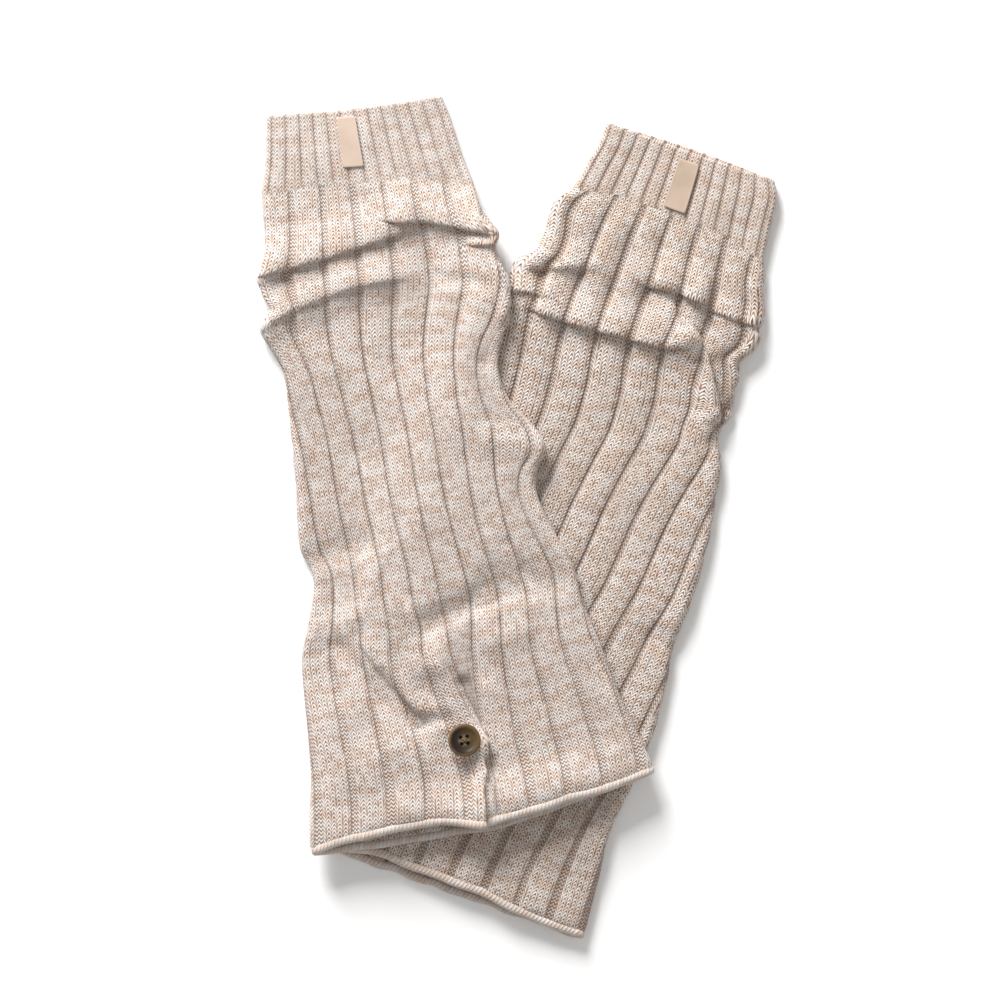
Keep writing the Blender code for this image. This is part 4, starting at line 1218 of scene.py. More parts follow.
@dataclass(frozen=True)
class Leatherette:
    """Smooth matt leatherette with a fine grain."""

    letter: str
    colour: Colour
    shade: Colour
    patches: float = 90.0       # patches of shade in a metre
    grain: float = 900.0        # grains in a metre
    depth: float = 0.05 * MM

    def material(self) -> bpy.types.Material:
        """Build the material: two tones in soft patches, and grain as bump.

        Returns:
            The material.
        """
        graph = Graph(f"leatherette_{self.letter}")
        place = graph.object_place()
        shaded = graph.step(graph.noise(place, self.patches), 0.4, 0.62)
        graph.bump(graph.noise(place, self.grain, 3.0), self.depth)
        colour = graph.paint(shaded, self.colour, self.shade)
        return graph.finish(Base_Color=colour, Roughness=0.75, Specular_IOR_Level=0.15)


@dataclass(frozen=True)
class Horn:
    """Polished horn: dark brown with olive streaks, lighter rim; painted shade and highlight on one side."""

    # The horn's own streak tones, also set as painted shade: one side darker than the other
    dark: Colour = (0.020, 0.013, 0.011)
    olive: Colour = (0.080, 0.050, 0.020)
    # The rim's lighter tone: partly the horn's own, partly painted highlight
    rim: Colour = (0.17, 0.10, 0.045)
    middle: Colour = (0.17, 0.12, 0.065)
    # Painted shade: black inside the holes
    hole: Colour = (0.004, 0.003, 0.002)
    radius: float = 9.0 * MM
    turn: float = -62.0         # degrees by which the streaks are turned
    across: float = 900.0       # streaks in a metre across them, and along them
    along: float = 160.0
    streaky: float = 1.3        # how much the streaks break up the step from dark to olive
    wander: float = 1.2 * MM    # how far they move the edges of the rim's and the middle's tones
    rim_from: float = 6.6 * MM  # radii between which the rim's tone comes in
    rim_to: float = 8.4 * MM
    middle_from: float = 2.0 * MM  # radii between which the middle's tone goes out
    middle_to: float = 4.0 * MM
    middle_share: float = 0.8
    olive_rim: float = 0.55     # how much weaker the rim's tone, partly painted highlight, is on the olive side
    hole_shade_from: float = 0.5 * MM  # depths between which a hole is painted black as shade
    hole_shade_to: float = 1.0 * MM

    def material(self, centre: Array, well: float) -> bpy.types.Material:
        """Build the material for a button.

        Args:
            centre: The middle of the button.
            well: Height over it at which its sunken middle lies.

        Returns:
            The material: streaks along one way, with one side painted darker as shade, the rim's tone past a
            distance from the middle, partly painted highlight, and black painted inside the holes as shade.
        """
        graph = Graph("horn")
        node = graph.nodes.new("ShaderNodeMapping")
        node.vector_type = "TEXTURE"
        node.inputs["Location"].default_value = tuple(centre)
        node.inputs["Rotation"].default_value = (0.0, 0.0, math.radians(self.turn))
        graph.put(node, "Vector", graph.object_place())
        x, y, z = graph.split(Signal(graph, node.outputs[0]))
        streaks = graph.noise(graph.vector(x * self.across, y * self.along, 0.0), 1.0, 3.0)
        # Painted shade and light: a step from dark on one side to olive on the other, broken up by the horn's
        # streaks
        side = graph.step(y * (1 / self.radius) + self.streaky * (streaks - 0.5), -0.5, 0.7)
        from_middle = graph.math("SQRT", x * x + y * y) + self.wander * (streaks - 0.5)
        worn = 1.0 - graph.step(from_middle, self.middle_from, self.middle_to)
        # Painted shade: black deep inside the holes
        deep = 1.0 - graph.step(z, well - self.hole_shade_to, well - self.hole_shade_from)
        edge = graph.step(from_middle, self.rim_from, self.rim_to)
        colour = graph.paint(side, self.dark, self.olive)
        colour = graph.paint(worn * self.middle_share, colour, self.middle)
        colour = graph.paint(deep * worn, colour, self.hole)
        # The rim's tone, partly painted highlight, is strongest on the dark side
        colour = graph.paint(edge * (1.0 - self.olive_rim * side), colour, self.rim)
        return graph.finish(Base_Color=colour, Roughness=0.45, Specular_IOR_Level=0.2)


@dataclass(frozen=True)
class Thread:
    """Sewing thread: light khaki, twisted."""

    colour: Colour = (0.20, 0.145, 0.08)
    dark: Colour = (0.10, 0.066, 0.036)
    plies: float = 3500.0       # plies in a metre
    depth: float = 0.08 * MM

    def material(self) -> bpy.types.Material:
        """Build the material: fine twisted plies as noise and bump.

        Returns:
            The material.
        """
        graph = Graph("thread")
        plies = graph.noise(graph.object_place(), self.plies)
        graph.bump(plies, self.depth)
        colour = graph.paint(graph.step(plies, 0.35, 0.6), self.dark, self.colour)
        return graph.finish(Base_Color=colour, Roughness=0.9, Specular_IOR_Level=0.1)


LEG_KNIT = KnitPattern(
    ribs=20,
    wales=7,
    purl=2,
    rise=0.6 * MM,
    closed=0.04,
    opened=0.15,
    first_fine=-2,
    last_fine=11,
    offsets=(-1.43, -1.2, -1.0, -0.8, -0.5, -0.2, 0.2, 0.6, 1.0, 1.4, 1.9, 2.6, 3.5, 4.4, 5.0),
    coarse=4.0,
    edge=0.6,
    gentle=0.6,
    line=0.95,
)
CUFF_KNIT = KnitPattern(
    ribs=26,
    wales=3,
    purl=1,
    rise=0.72 * MM,
    closed=0.09,
    opened=0.12,
    first_fine=-1,
    last_fine=15,
    offsets=(-0.72, -0.58, -0.4, -0.2, 0.1, 0.45, 0.75, 1.1, 1.5, 1.9),
    coarse=5.0,
    edge=0.4,
    gentle=0.35,
    line=0.6,
)
YARN_A = MarlYarn("a", cream=(0.68, 0.62, 0.582), peach=(0.615, 0.508, 0.44))
# B's gaps and purl stitches are painted darker than A's, as more shade
YARN_B = MarlYarn(
    "b",
    cream=(0.70, 0.63, 0.585),
    peach=(0.635, 0.512, 0.43),
    grey_gap_shade=(0.15, 0.115, 0.09),
    tan_gap_shade=(0.12, 0.06, 0.033),
    stitch_depth=0.7 * MM,
    cuff_shade_tone=0.89,
    purl_shade=0.55,
    fleck_low=0.43,
    fleck_high=0.56,
)
LABEL_A = Leatherette("a", colour=(0.54, 0.43, 0.348), shade=(0.52, 0.405, 0.322))
LABEL_B = Leatherette("b", colour=(0.475, 0.368, 0.29), shade=(0.455, 0.348, 0.268))
CUFF_FIRST_RIB = 0.3    # rib count at a cuff's left side fold
CUFF_FRONT_RIBS = 13.4  # ribs over its front


@dataclass
class KnitTube:
    """A stretch of the tube with a wall: ribbed outside, plain inside, closed at both ends."""

    name: str
    node: str
    shape: WarmerShape
    pattern: KnitPattern
    first: int                 # ring numbers between which it runs
    last: int
    rounded_top: bool          # a rounded edge at its first ring, or a seam
    inner_rows: int
    slot: str
    seam_fade: float = 2.0     # courses over which ribs run out at a seam
    rim_rows: int = 3
    uneven: float = 0.2        # how much more some grooves are open than others,
    uneven_ribs: float = 2.4   # as a wave that turns by so many radians from rib to rib,
    uneven_reach: float = 23.0  # and by one radian over so many mm down the left side
    length: float = field(default=0.0, init=False)
    girth: float = field(default=0.0, init=False)

    def places(self) -> Array:
        """Space out the rows of points as close as the table of rings asks.

        Returns:
            The rows' ring numbers.
        """
        table = self.shape.table()
        middle = (table[:, LEFT] + table[:, RIGHT]) / 2
        steps = np.linalg.norm(np.diff(middle, axis=0), axis=1) / table[:-1, PITCH]
        count = np.concatenate([[0.0], np.cumsum(steps)])
        rows = round(count[self.last] - count[self.first])
        wanted = np.linspace(count[self.first], count[self.last], rows + 1)
        return np.interp(wanted, count, np.arange(len(count)))

    def opened(self, rows: Array, wales: Array) -> Array:
        """How far grooves are stretched open: the table's share, uneven from rib to rib.

        Args:
            rows: One table row for each ring.
            wales: Wale counts of the columns.

        Returns:
            Shares from 0 to 1, rings by columns.
        """
        rib = np.round(wales / self.pattern.wales)[None, :]
        down = rows[:, 1:2] / self.uneven_reach
        uneven = self.uneven * np.sin(self.uneven_ribs * rib + self.shape.ripple_turn + down)
        return np.clip(rows[:, OPEN] + uneven, 0.0, 1.0)

    def shares(self, rows: Array, wales: Array) -> Array:
        """Where each column of points stands round each ring.

        Args:
            rows: One table row for each ring.
            wales: Wale counts of the columns.

        Returns:
            Shares round the ring: the front holds the ribs that the table gives it, the underside the rest.
        """
        counts = self.pattern.rib_count(wales[None, :], self.opened(rows, wales))
        beyond = (counts - rows[:, RIB_LEFT]) % self.pattern.ribs
        span, tuck = rows[:, RIB_RIGHT] - rows[:, RIB_LEFT], rows[:, TUCK]
        hidden = tuck * smooth_step((beyond + rows[:, RIB_LEFT] - TUCK_FROM) / TUCK_OVER)
        behind = (beyond - span) / (self.pattern.ribs - span)
        return np.where(beyond <= span, (beyond - hidden) / (span - tuck), 1 + behind)

    def held(self, courses: Array) -> Array:
        """How far up the ribs have come at so many courses from a seam."""
        return smooth_step(SEAM_SHARE + (1 - SEAM_SHARE) * courses / self.seam_fade)

    def relief(self, rows: Array, wales: Array, shares: Array) -> tuple[Array, Array]:
        """How far the outer skin stands out of the flat rings.

        The ribs' own relief, made rounder by a sine over each rib to a low power, flat where a tuck squeezes
        them, and eased to one level at the seams.

        Args:
            rows: One table row for each ring.
            wales: Wale counts of the columns.
            shares: Where the columns stand round each ring.

        Returns:
            Heights in metres, and how far up the ribs have come from the nearest seam.
        """
        flat = self.shape.ring_points(rows, shares, 0.0, 0.0)[0]
        from_top = np.linalg.norm(flat - flat[:1], axis=2) / COURSE
        from_hem = np.linalg.norm(flat - flat[-1:], axis=2) / COURSE
        held = self.held(from_hem) * (1.0 if self.rounded_top else self.held(from_top))
        counts = self.pattern.rib_count(wales[None, :], self.opened(rows, wales))
        puff = rows[:, PUFF] * MM * np.abs(np.sin(math.pi * counts)) ** PUFF_ROUND
        into = np.clip((counts - TUCK_FROM) / TUCK_OVER, 0, 1)
        loose = 1 - np.clip(rows[:, TUCK] / TUCK_OVER * TUCK_FLAT * into * (1 - into), 0, 1)
        ribs = (self.pattern.relief(wales)[None, :] + puff) * loose
        at_cuff = (from_hem > from_top) | (self.last == CUFF_END)
        return ribs * held + SEAM_LEVEL * LEG_KNIT.rise * (1 - held) * at_cuff, held

    def build(self, material: bpy.types.Material) -> bpy.types.Object:
        """Make the piece: outer rows, the rim, inner rows and the other rim, as one closed grid.

        Args:
            material: Its yarn.

        Returns:
            The piece.
        """
        wales = self.pattern.columns()
        rows = rings_at(self.shape.table(), self.places())
        if self.last == CUFF_END:
            rows[:, RIB_LEFT] = CUFF_FIRST_RIB
            rows[:, RIB_RIGHT] = CUFF_FIRST_RIB + CUFF_FRONT_RIBS
        shares = self.shares(rows, wales)
        relief, held = self.relief(rows, wales, shares)
        outer, _, down, top = self.shape.ring_points(rows, shares, 0.0, relief)
        outer = self.shape.settle(outer, top)
        inner_at = np.linspace(len(rows) - 1, 0, self.inner_rows).round().astype(int)
        inner, _, _, top = self.shape.ring_points(pulled_in(rows[inner_at]), shares[inner_at], WALL, 0.0)
        inner = self.shape.settle(inner, top, inside=True)
        hem_rim = self.rim(outer[-1], inner[0], down[-1], 0.0)
        top_rim = self.rim(inner[-1], outer[0], -down[0], WALL / 2 if self.rounded_top else 0.0)
        points = np.concatenate([outer, hem_rim, inner, top_rim])
        self.length = float(np.linalg.norm(np.diff(outer, axis=0), axis=2).sum(axis=0).mean())
        self.girth = float(np.linalg.norm(np.roll(outer, -1, axis=1) - outer, axis=2).sum(axis=1).mean())
        closed = np.zeros(points.shape[:2])
        closed[: len(rows)] = (1 - self.opened(rows, wales)) * held
        thing = torus_mesh(self.name, points, *self.counts(wales, outer, points), closed)
        finish_piece(thing, material, self.node)
        return thing

    def rim(self, start: Array, end: Array, away: Array, bulge: float) -> Array:
        """Rings across the wall's end, arched out of it by `bulge` along `away`."""
        t = (np.arange(self.rim_rows) + 1.0)[:, None, None] / (self.rim_rows + 1)
        return start + (end - start) * (1 - np.cos(math.pi * t)) / 2 + away * bulge * np.sin(math.pi * t)

    def counts(self, wales: Array, outer: Array, points: Array) -> tuple[Array, Array]:
        """Count wales and courses over the whole grid, past the outer skin by the mean length of its rows.

        Args:
            wales: Wale counts of the columns.
            outer: The outer skin's points.
            points: All of the grid's points, from the outer skin's on.

        Returns:
            Wale and course counts, one row and one column more than the points.
        """
        courses = count_courses(outer)
        steps = np.linalg.norm(np.roll(points, -1, axis=0) - points, axis=2)[len(outer) - 1 :]
        courses = np.concatenate([courses, courses[-1] + np.cumsum(steps.mean(axis=1) / COURSE)[:, None]])
        courses = np.concatenate([courses, courses[:, :1]], axis=1)
        around = np.append(wales, wales[0] + self.pattern.ribs * self.pattern.wales)
        return np.broadcast_to(around, courses.shape), courses


@dataclass
class RolledHem:
    """The rolled edge: a thin tube round the leg's lower rim."""

    name: str
    node: str
    leg: KnitTube
    sides: int = 12
    proud: float = 0.9 * MM    # how far the roll stands over the leg's edge
    wide: float = 1.5          # how much wider than high it is
    away: float = 1.4 * MM     # from the leg's edge to its middle
    uneven: float = 0.45 * MM  # how far it wanders from there, in two waves along the edge,
    long_wave: float = 2.9     # of so many wales a radian
    short_wave: float = 1.7
    short_share: float = 0.7   # height of the short wave next to the long one's
    stitches: float = 10.0     # courses counted round it

    def build(self, material: bpy.types.Material) -> bpy.types.Object:
        """Make the roll: a flattened circle carried round the leg's last ring, outside it.

        Args:
            material: Its yarn.

        Returns:
            The piece.
        """
        shape, wales = self.leg.shape, self.leg.pattern.columns()
        row = shape.table()[-1:]
        share = self.leg.shares(row, wales)
        centre, outward, down, top = shape.ring_points(row, share, ROLL_RADIUS, self.proud)
        wander = np.sin(wales / self.long_wave) + self.short_share * np.sin(wales / self.short_wave + 1.0)
        away = self.away + self.uneven * wander[None, :, None]
        centre = shape.settle(centre + down * away, top)[0]
        angle = 2 * math.pi * np.arange(self.sides)[:, None, None] / self.sides
        points = centre + ROLL_RADIUS * (down[0] * self.wide * np.cos(angle) + outward[0] * np.sin(angle))
        points = points[::-1].transpose(1, 0, 2)
        lengths = np.linalg.norm(np.roll(centre, -1, axis=0) - centre, axis=1)
        along = np.concatenate([[0.0], np.cumsum(lengths)]) / WALE
        around = np.arange(self.sides + 1) * (self.stitches / self.sides)
        thing = torus_mesh(self.name, points, *np.meshgrid(along, around, indexing="ij"))
        finish_piece(thing, material, self.node)
        return thing


def pancake_mesh(name: str, rings: Array) -> bpy.types.Object:
    """Make a closed mesh from rings of points that run from a middle, over an edge, to the other middle.

    Args:
        name: The object's name.
        rings: Grid of points, rings by points round them by 3; the first and last ring are single points
            repeated, and are merged.

    Returns:
        The new object.
    """
    count, around = rings.shape[:2]
    inner = rings[1:-1].reshape(-1, 3)
    points = np.concatenate([rings[0, :1], inner, rings[-1, :1]])
    ring, place = np.meshgrid(np.arange(count - 3), np.arange(around), indexing="ij")
    beside = (place + 1) % around
    here, there = 1 + ring * around, 1 + (ring + 1) * around
    quads = np.stack([here + place, there + place, there + beside, here + beside], axis=-1).reshape(-1, 4)
    first, last = np.arange(around), 1 + (count - 3) * around
    turn = (first + 1) % around
    start = np.stack([np.zeros(around, int), 1 + first, 1 + turn], axis=-1)
    end = np.stack([np.full(around, len(points) - 1), last + turn, last + first], axis=-1)
    mesh = bpy.data.meshes.new(name)
    mesh.from_pydata(points.tolist(), [], quads.tolist() + start.tolist() + end.tolist())
    mesh.validate()
    mesh.shade_smooth()
    return add_object(name, mesh)


class LabelPlace(NamedTuple):
    """Where a label lies: the ring numbers and the shares across between which it runs."""

    first: float
    last: float
    left: float
    right: float


@dataclass
class Label:
    """A bare label on a cuff: a thin plate with rounded corners and edges that follows the cuff's ribs."""

    name: str
    node: str
    shape: WarmerShape
    place: LabelPlace
    thickness: float = 0.6 * MM
    over_groove: float = 1.1 * MM
    around: int = 160
    corner: float = 16.0       # higher is a squarer corner
    profile: tuple[tuple[float, float], ...] = (  # share of its half size, share of its thickness
        (0.0, 0.92), (0.25, 0.92), (0.5, 0.92), (0.7, 0.92), (0.84, 0.92), (0.9, 1.0), (0.94, 1.0),
        (0.975, 0.93), (1.0, 0.7), (1.0, 0.3), (0.97, 0.0), (0.5, 0.0), (0.0, 0.0),
    )

    def build(self, material: bpy.types.Material) -> bpy.types.Object:
        """Make the plate: a superellipse whose rings run from the top's middle to the underside's.

        Args:
            material: Its leatherette.

        Returns:
            The piece.
        """
        size, high = np.array(self.profile).T
        first, last, left, right = self.place
        angle = 2 * math.pi * np.arange(self.around) / self.around
        ways = np.stack([np.cos(angle), np.sin(angle)])
        across, along = np.sign(ways) * np.abs(ways) ** (2 / self.corner)
        level = (left + right) / 2 + (right - left) / 2 * size[:, None] * across
        ring = (first + last) / 2 - (last - first) / 2 * size[:, None] * along
        height = np.broadcast_to(self.over_groove + self.thickness * high[:, None], level.shape)
        points = self.shape.front_points(ring.ravel(), level.ravel(), height.ravel(), settled=True)
        thing = pancake_mesh(self.name, points.reshape(len(size), self.around, 3))
        finish_piece(thing, material, self.node)
        return thing


@dataclass
class Button:
    """A four-hole button with a raised rim and a sunken middle, and the cross of thread that holds it."""

    name: str
    node: str
    turn: float                # degrees by which its holes are turned
    around: int = 96
    hole_radius: float = 1.1 * MM
    hole_spread: float = 1.8 * MM
    hole_floor: float = 0.3 * MM  # where the thread fills the holes
    hole_sides: int = 20
    pin_length: float = 6.0 * MM  # of the pins that cut them
    sharp_from: float = 40.0   # degrees from which its edges are shaded sharp
    lean: float = 8.0          # degrees by which it leans
    uphill: tuple[float, float, float] = (-0.8, -0.6, 0.0)  # towards its higher side
    raise_by: float = 1.9 * MM
    thread_radius: float = 0.24 * MM
    thread_sides: int = 10
    strand_rings: int = 25
    strand_apart: float = 0.8  # thread radii from the middle of a stitch to each of its two strands
    strand_lift: float = 2.0   # thread radii by which the upper stitch arches over the lower one
    strand_in: float = 0.2     # share of the way between two holes that is inside the first
    strand_ends: float = 0.15  # how long a strand goes straight down at each end
    strand_sunk: float = 1.4 * MM  # depth in a hole at which a strand ends
    strand_rise: float = 1.8 * MM  # its height over that in the middle
    strand_steep: float = 0.35  # lower is a strand with steeper ends
    profile: tuple[tuple[float, float], ...] = (  # radius and height in mm, over the rim to the underside
        (0.0, 1.75), (2.0, 1.75), (3.6, 1.78), (4.6, 1.85), (5.4, 2.05), (6.1, 2.4), (6.7, 2.72),
        (7.3, 2.92), (7.9, 3.0), (8.4, 2.92), (8.8, 2.6), (9.0, 1.9), (8.95, 1.3), (8.7, 0.8),
        (8.2, 0.4), (7.4, 0.1), (4.0, 0.0), (0.0, 0.0),
    )
    seat: Array = field(init=False)

    def __post_init__(self) -> None:
        """Read the middle of the button's underside from its solid."""
        low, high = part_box(self.node)
        self.seat = np.array([(low[0] + high[0]) / 2, (low[1] + high[1]) / 2, low[2]])

    @property
    def well(self) -> float:
        """Height of its sunken middle."""
        return self.profile[0][1] * MM

    def build(self, finish: Horn, thread: bpy.types.Material) -> list[bpy.types.Object]:
        """Make the button: a turned profile with four holes, and its thread.

        Args:
            finish: The button's finish.
            thread: The thread's material.

        Returns:
            The button and its thread.
        """
        radii, highs = np.array(self.profile).T * MM
        circle = ring_of(self.around)
        rings = self.seat + radii[:, None, None] * circle + highs[:, None, None] * UP
        thing = pancake_mesh(self.name, rings)
        self.cut_holes(thing)
        points = np.empty(len(thing.data.vertices) * 3)
        thing.data.vertices.foreach_get("co", points)
        thing.data.vertices.foreach_set("co", self.tilted(points.reshape(-1, 3)).reshape(-1))
        thing.data.update()
        strands = self.sew(thread)
        finish_piece(thing, finish.material(self.seat, self.raise_by + self.well), self.node)
        return [thing, strands]

    def hole_places(self) -> Array:
        """Where the four holes stand round the middle."""
        angle = math.radians(self.turn) + math.pi / 4 + math.pi / 2 * np.arange(4)
        return self.hole_spread * math.sqrt(2) * np.stack([np.cos(angle), np.sin(angle)], axis=1)

    def cut_holes(self, thing: bpy.types.Object) -> None:
        """Cut four round holes into the button, and keep the result as its mesh.

        Args:
            thing: The button.
        """
        ring = ring_of(self.hole_sides) * self.hole_radius
        low, high = self.hole_floor * UP, self.pin_length * UP
        pins = []
        for number, spot in enumerate(self.hole_places()):
            rings = np.stack([0 * ring + high, ring + high, ring + low, 0 * ring + low])
            middle = self.seat + np.array([*spot, 0.0])
            pins.append(pancake_mesh(f"{self.name}_pin_{number}", rings + middle))
        for pin in pins:
            cut = thing.modifiers.new("hole", "BOOLEAN")
            cut.object = pin
        evaluated = thing.evaluated_get(bpy.context.evaluated_depsgraph_get())
        cut_mesh = bpy.data.meshes.new_from_object(evaluated)
        thing.modifiers.clear()
        thing.data = cut_mesh
        cut_mesh.set_sharp_from_angle(angle=math.radians(self.sharp_from))
        for pin in pins:
            bpy.data.objects.remove(pin, do_unlink=True)

    def strand(self, start: Array, end: Array, side: float, lift: float) -> Array:
        """Work out one strand of thread.

        It rises out of one hole, runs over the button's middle and dives into the hole across: its height
        is an arch to a low power, and a small circle is carried along it.

        Args:
            start: Where the first hole is.
            end: Where the hole across is.
            side: How far beside the middle it runs, in thread radii.
            lift: How far it arches over another stitch, in thread radii.

        Returns:
            One end's tip, rings of points, and the other end's tip.
        """
        t = np.linspace(0, 1, self.strand_rings)[:, None]
        chord = (end - start) / np.linalg.norm(end - start)
        beside = np.array([-chord[1], chord[0]])
        moved = smooth_step(t * (1 + 2 * self.strand_ends) - self.strand_ends)
        way = self.strand_in + (1 - 2 * self.strand_in) * moved
        plan = start + (end - start) * way + beside * side * self.thread_radius
        arch = np.clip(4 * t * (1 - t), 0, 1)
        high = self.well - self.strand_sunk + self.strand_rise * arch**self.strand_steep
        path = self.seat + np.concatenate([plan, high + lift * self.thread_radius * arch], axis=1)
        tangent = np.gradient(path, axis=0)
        tangent /= np.linalg.norm(tangent, axis=1, keepdims=True)
        wide = np.array([*beside, 0.0])
        tall = np.cross(tangent, wide)[:, None]
        angle = 2 * math.pi * np.arange(self.thread_sides)[None, :, None] / self.thread_sides
        ring = path[:, None] + self.thread_radius * (wide * np.cos(angle) + tall * np.sin(angle))
        return np.concatenate([path[:1], ring.reshape(-1, 3), path[-1:]])

    def sew(self, material: bpy.types.Material) -> bpy.types.Object:
        """Make the thread: two crossing stitches of two strands each.

        Args:
            material: The thread's material.

        Returns:
            The thread, one mesh.
        """
        holes = self.hole_places()
        parts = [
            self.strand(holes[number], holes[number + 2], side, number * self.strand_lift)
            for number in (0, 1)
            for side in (-self.strand_apart, self.strand_apart)
        ]
        faces = tube_faces(self.strand_rings, self.thread_sides)
        starts = range(0, len(parts) * len(parts[0]), len(parts[0]))
        moved = [[index + first for index in face] for first in starts for face in faces]
        mesh = bpy.data.meshes.new(f"{self.name}_thread")
        mesh.from_pydata(self.tilted(np.concatenate(parts)).tolist(), [], moved)
        mesh.shade_smooth()
        thing = add_object(f"{self.name}_thread", mesh)
        finish_piece(thing, material)
        return thing

    def tilted(self, points: Array) -> Array:
        """Raise points, and turn them about a level line through the seat.

        Args:
            points: Points, one row each.

        Returns:
            The turned points.
        """
        lean, uphill = math.radians(self.lean), np.array(self.uphill)
        local = points - self.seat
        along, up = local @ uphill, local @ UP
        level = local - along[:, None] * uphill - up[:, None] * UP
        turned_along = along * math.cos(lean) - up * math.sin(lean)
        turned_up = along * math.sin(lean) + up * math.cos(lean)
        turned = level + turned_along[:, None] * uphill + turned_up[:, None] * UP
        return self.seat + UP * self.raise_by + turned


def ring_of(sides: int) -> Array:
    """Points round a level circle of radius 1."""
    angle = 2 * math.pi * np.arange(sides) / sides
    return np.stack([np.cos(angle), np.sin(angle), np.zeros(sides)], axis=1)


def tube_faces(rings: int, sides: int) -> list[list[int]]:
    """List the faces of a tube with pointed ends: point 0, then the rings, then the last point.

    Args:
        rings: How many rings it has.
        sides: How many points each has.

    Returns:
        The faces, each a list of point numbers.
    """
    ring, side = np.meshgrid(np.arange(rings - 1), np.arange(sides), indexing="ij")
    beside = (side + 1) % sides
    low, high = 1 + ring * sides, 1 + (ring + 1) * sides
    quads = np.stack([low + side, low + beside, high + beside, high + side], axis=-1).reshape(-1, 4)
    first = np.arange(sides)
    turn = (first + 1) % sides
    top = 1 + (rings - 1) * sides
    start = np.stack([np.zeros(sides, int), 1 + turn, 1 + first], axis=-1)
    end = np.stack([np.full(sides, 1 + rings * sides), top + first, top + turn], axis=-1)
    return quads.tolist() + start.tolist() + end.tolist()


@dataclass
class LegWarmer:
    """One whole leg warmer: cuff, leg, rolled edge, label and button."""

    letter: str
    shape: WarmerShape
    label: LabelPlace
    button_turn: float
    yarn: MarlYarn
    leatherette: Leatherette
    rests_on: tuple[str, ...] = ()

    def build(self, thread: bpy.types.Material) -> list[bpy.types.Object]:
        """Args:
            thread: The material of the buttons' thread.

        Returns:
            The pieces.
        """
        names = {part: f"{part}_{self.letter}" for part in ("cuff", "leg", "hem", "label", "button")}
        cuff = KnitTube(
            names["cuff"] + "_knit",
            names["cuff"],
            self.shape,
            CUFF_KNIT,
            first=0,
            last=CUFF_END,
            rounded_top=True,
            inner_rows=8,
            slot="cuff_knit",
        )
        leg = KnitTube(
            names["leg"] + "_knit",
            names["leg"],
            self.shape,
            LEG_KNIT,
            first=CUFF_END,
            last=len(self.shape.rings) - 1,
            rounded_top=False,
            inner_rows=20,
            slot="leg_knit",
        )
        hem = RolledHem(names["hem"] + "_roll", names["hem"], leg)
        label = Label(names["label"] + "_plate", names["label"], self.shape, self.label)
        button = Button(names["button"] + "_horn", names["button"], self.button_turn)
        cuff_piece = cuff.build(self.yarn.material(Stitch.CUFF, CUFF_KNIT))
        leg_piece = leg.build(self.yarn.material(Stitch.LEG, LEG_KNIT))
        hem_piece = hem.build(self.yarn.material(Stitch.ROLL))
        label_piece = label.build(self.leatherette.material())
        button_piece, thread_piece = button.build(Horn(), thread)
        return [cuff_piece, leg_piece, hem_piece, label_piece, button_piece, thread_piece]


class Lamp(NamedTuple):
    """A square area light that faces the pair."""

    name: str
    place: tuple[float, float, float]
    size: float
    power: float


@dataclass
class Studio:
    """A pale floor, soft lights and the camera straight above."""

    view_width: float = 0.55
    middle: tuple[float, float] = (-9.6 * MM, 10.4 * MM)
    height: float = 2.0
    subject_height: float = 8.0 * MM
    floor_size: float = 8.0
    floor_colour: Colour = (0.95, 0.95, 0.95)
    floor_mottle: float = 0.995  # how light the darker patches of the floor are,
    floor_patches: float = 3.0   # and how many there are in a metre
    world_strength: float = 0.45
    world_colour: Colour = (1.0, 0.98, 0.96)
    lamps: tuple[Lamp, ...] = (
        Lamp("key", (-1.00, 2.42, 1.32), 1.25, 167.0),
        Lamp("fill", (1.3, -0.5, 1.5), 1.6, 4.0),
    )

    def build(self) -> None:
        """Make the floor, the lights, the world and the camera."""
        self.add_floor()
        for lamp in self.lamps:
            self.add_light(lamp)
        world = bpy.data.worlds.new("studio")
        world.use_nodes = True
        background = world.node_tree.nodes["Background"]
        background.inputs["Color"].default_value = (*self.world_colour, 1.0)
        background.inputs["Strength"].default_value = self.world_strength
        bpy.context.scene.world = world
        self.add_camera()

    def add_floor(self) -> None:
        """Make the floor, level with the pair's underside."""
        half = self.floor_size / 2
        mesh = bpy.data.meshes.new("floor")
        corners = [(-half, -half, 0.0), (half, -half, 0.0), (half, half, 0.0), (-half, half, 0.0)]
        mesh.from_pydata(corners, [], [(0, 1, 2, 3)])
        floor = add_object("floor", mesh)
        graph = Graph("floor")
        darker = tuple(value * self.floor_mottle for value in self.floor_colour)
        colour = graph.paint(graph.noise(graph.object_place(), self.floor_patches), self.floor_colour, darker)
        mesh.materials.append(graph.finish(Base_Color=colour, Roughness=0.9, Specular_IOR_Level=0.1))

    def add_light(self, lamp: Lamp) -> None:
        """Add a lamp.

        Args:
            lamp: Its place, size and power.
        """
        light = bpy.data.lights.new(lamp.name, "AREA")
        light.size = lamp.size
        light.energy = lamp.power
        holder = add_object(lamp.name, light)
        holder.location = lamp.place
        away = np.array(lamp.place) / np.linalg.norm(lamp.place)
        holder.rotation_euler = (math.acos(away[2]), 0.0, math.atan2(away[0], -away[1]))

    def add_camera(self) -> None:
        """Add the camera, level above the middle of the view."""
        camera = bpy.data.cameras.new("camera")
        camera.lens = camera.sensor_width * self.height / self.view_width
        camera.dof.use_dof = False
        viewer = add_object("camera", camera)
        viewer.location = (*self.middle, self.height + self.subject_height)
        bpy.context.scene.camera = viewer


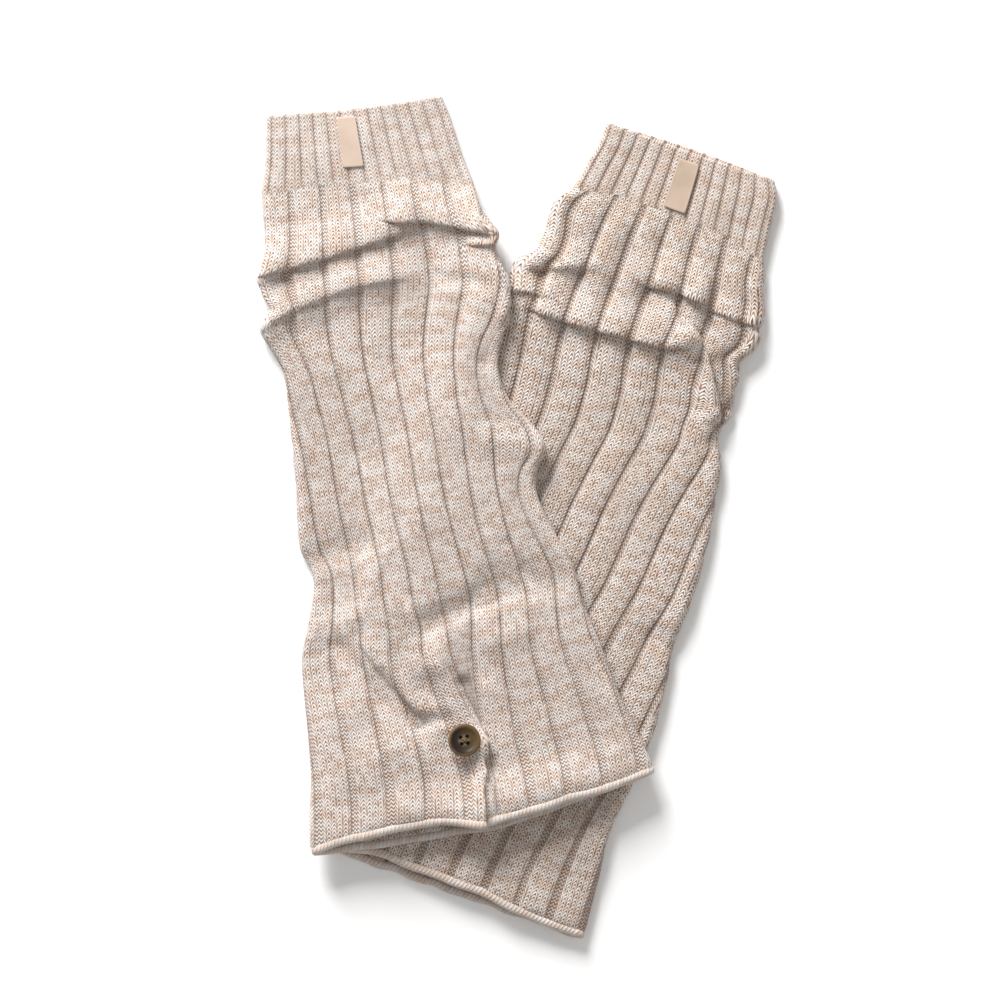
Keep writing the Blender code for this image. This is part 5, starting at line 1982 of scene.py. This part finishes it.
SHAPE_B = WarmerShape(
    rings=RINGS_B,
    creases=CREASES_B,
    front_hem=((0.0, 0.0), (0.12, -5.5), (0.3, -5.0), (0.45, -5.5), (0.6, -4.0), (0.8, -1.5), (1.0, 0.0)),
    back_hem=((0.0, 0.0), (0.5, 0.0), (1.0, 0.0)),
    button=(27.1, 0.14),
    ripple_turn=37.0,
    gape=3.0,
    tuck=((0.0, 0.0),),
    puff=((3.0, 0.0), (4.5, 2.2), (8.0, 3.0), (11.0, 2.4), (15.0, 1.0), (29.0, 0.8)),
)
SHAPE_A = WarmerShape(
    rings=RINGS_A,
    creases=CREASES_A,
    front_hem=((0.0, 0.0), (0.2, -2.4), (0.385, 0.6), (0.49, 5.8), (0.65, 4.9), (0.88, 2.8), (1.0, 0.0)),
    back_hem=((0.0, 0.0), (0.1, 3.0), (0.3, 6.4), (0.5, 9.5), (0.66, 8.5), (0.8, 4.8), (1.0, 0.0)),
    button=(28.6, 0.489),
    ripple_turn=0.0,
    gape=6.5,
    tuck=((24.0, 0.0), (26.0, 0.35), (27.0, 0.7), (28.0, 1.1), (29.0, 1.3), (30.0, 1.3), (31.0, 1.2)),
    puff=((3.0, 0.0), (4.5, 1.6), (7.0, 2.0), (11.0, 1.5), (14.0, 0.8), (22.0, 0.5), (31.0, 0.5)),
    lies_on=SHAPE_B,
)


def main() -> None:
    """Build the studio and both leg warmers, and report each piece."""
    logging.basicConfig(level=logging.INFO, format="%(message)s")
    log = logging.getLogger("leg_warmers")
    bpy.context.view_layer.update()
    bpy.context.scene.view_settings.view_transform = "Standard"
    Studio().build()
    thread = Thread().material()
    place_a = LabelPlace(first=0.30, last=2.29, left=0.392, right=0.497)
    place_b = LabelPlace(first=0.42, last=2.74, left=0.450, right=0.566)
    pair = (
        LegWarmer("b", SHAPE_B, place_b, 20.0, YARN_B, LABEL_B),
        LegWarmer("a", SHAPE_A, place_a, 8.0, YARN_A, LABEL_A, rests_on=("leg_b_knit",)),
    )
    for warmer in pair:
        for piece in warmer.build(thread):
            triangles = sum(len(face.vertices) - 2 for face in piece.data.polygons)
            log.info("%s: %d triangles", piece.name, triangles)


if __name__ == "__main__":
    main()
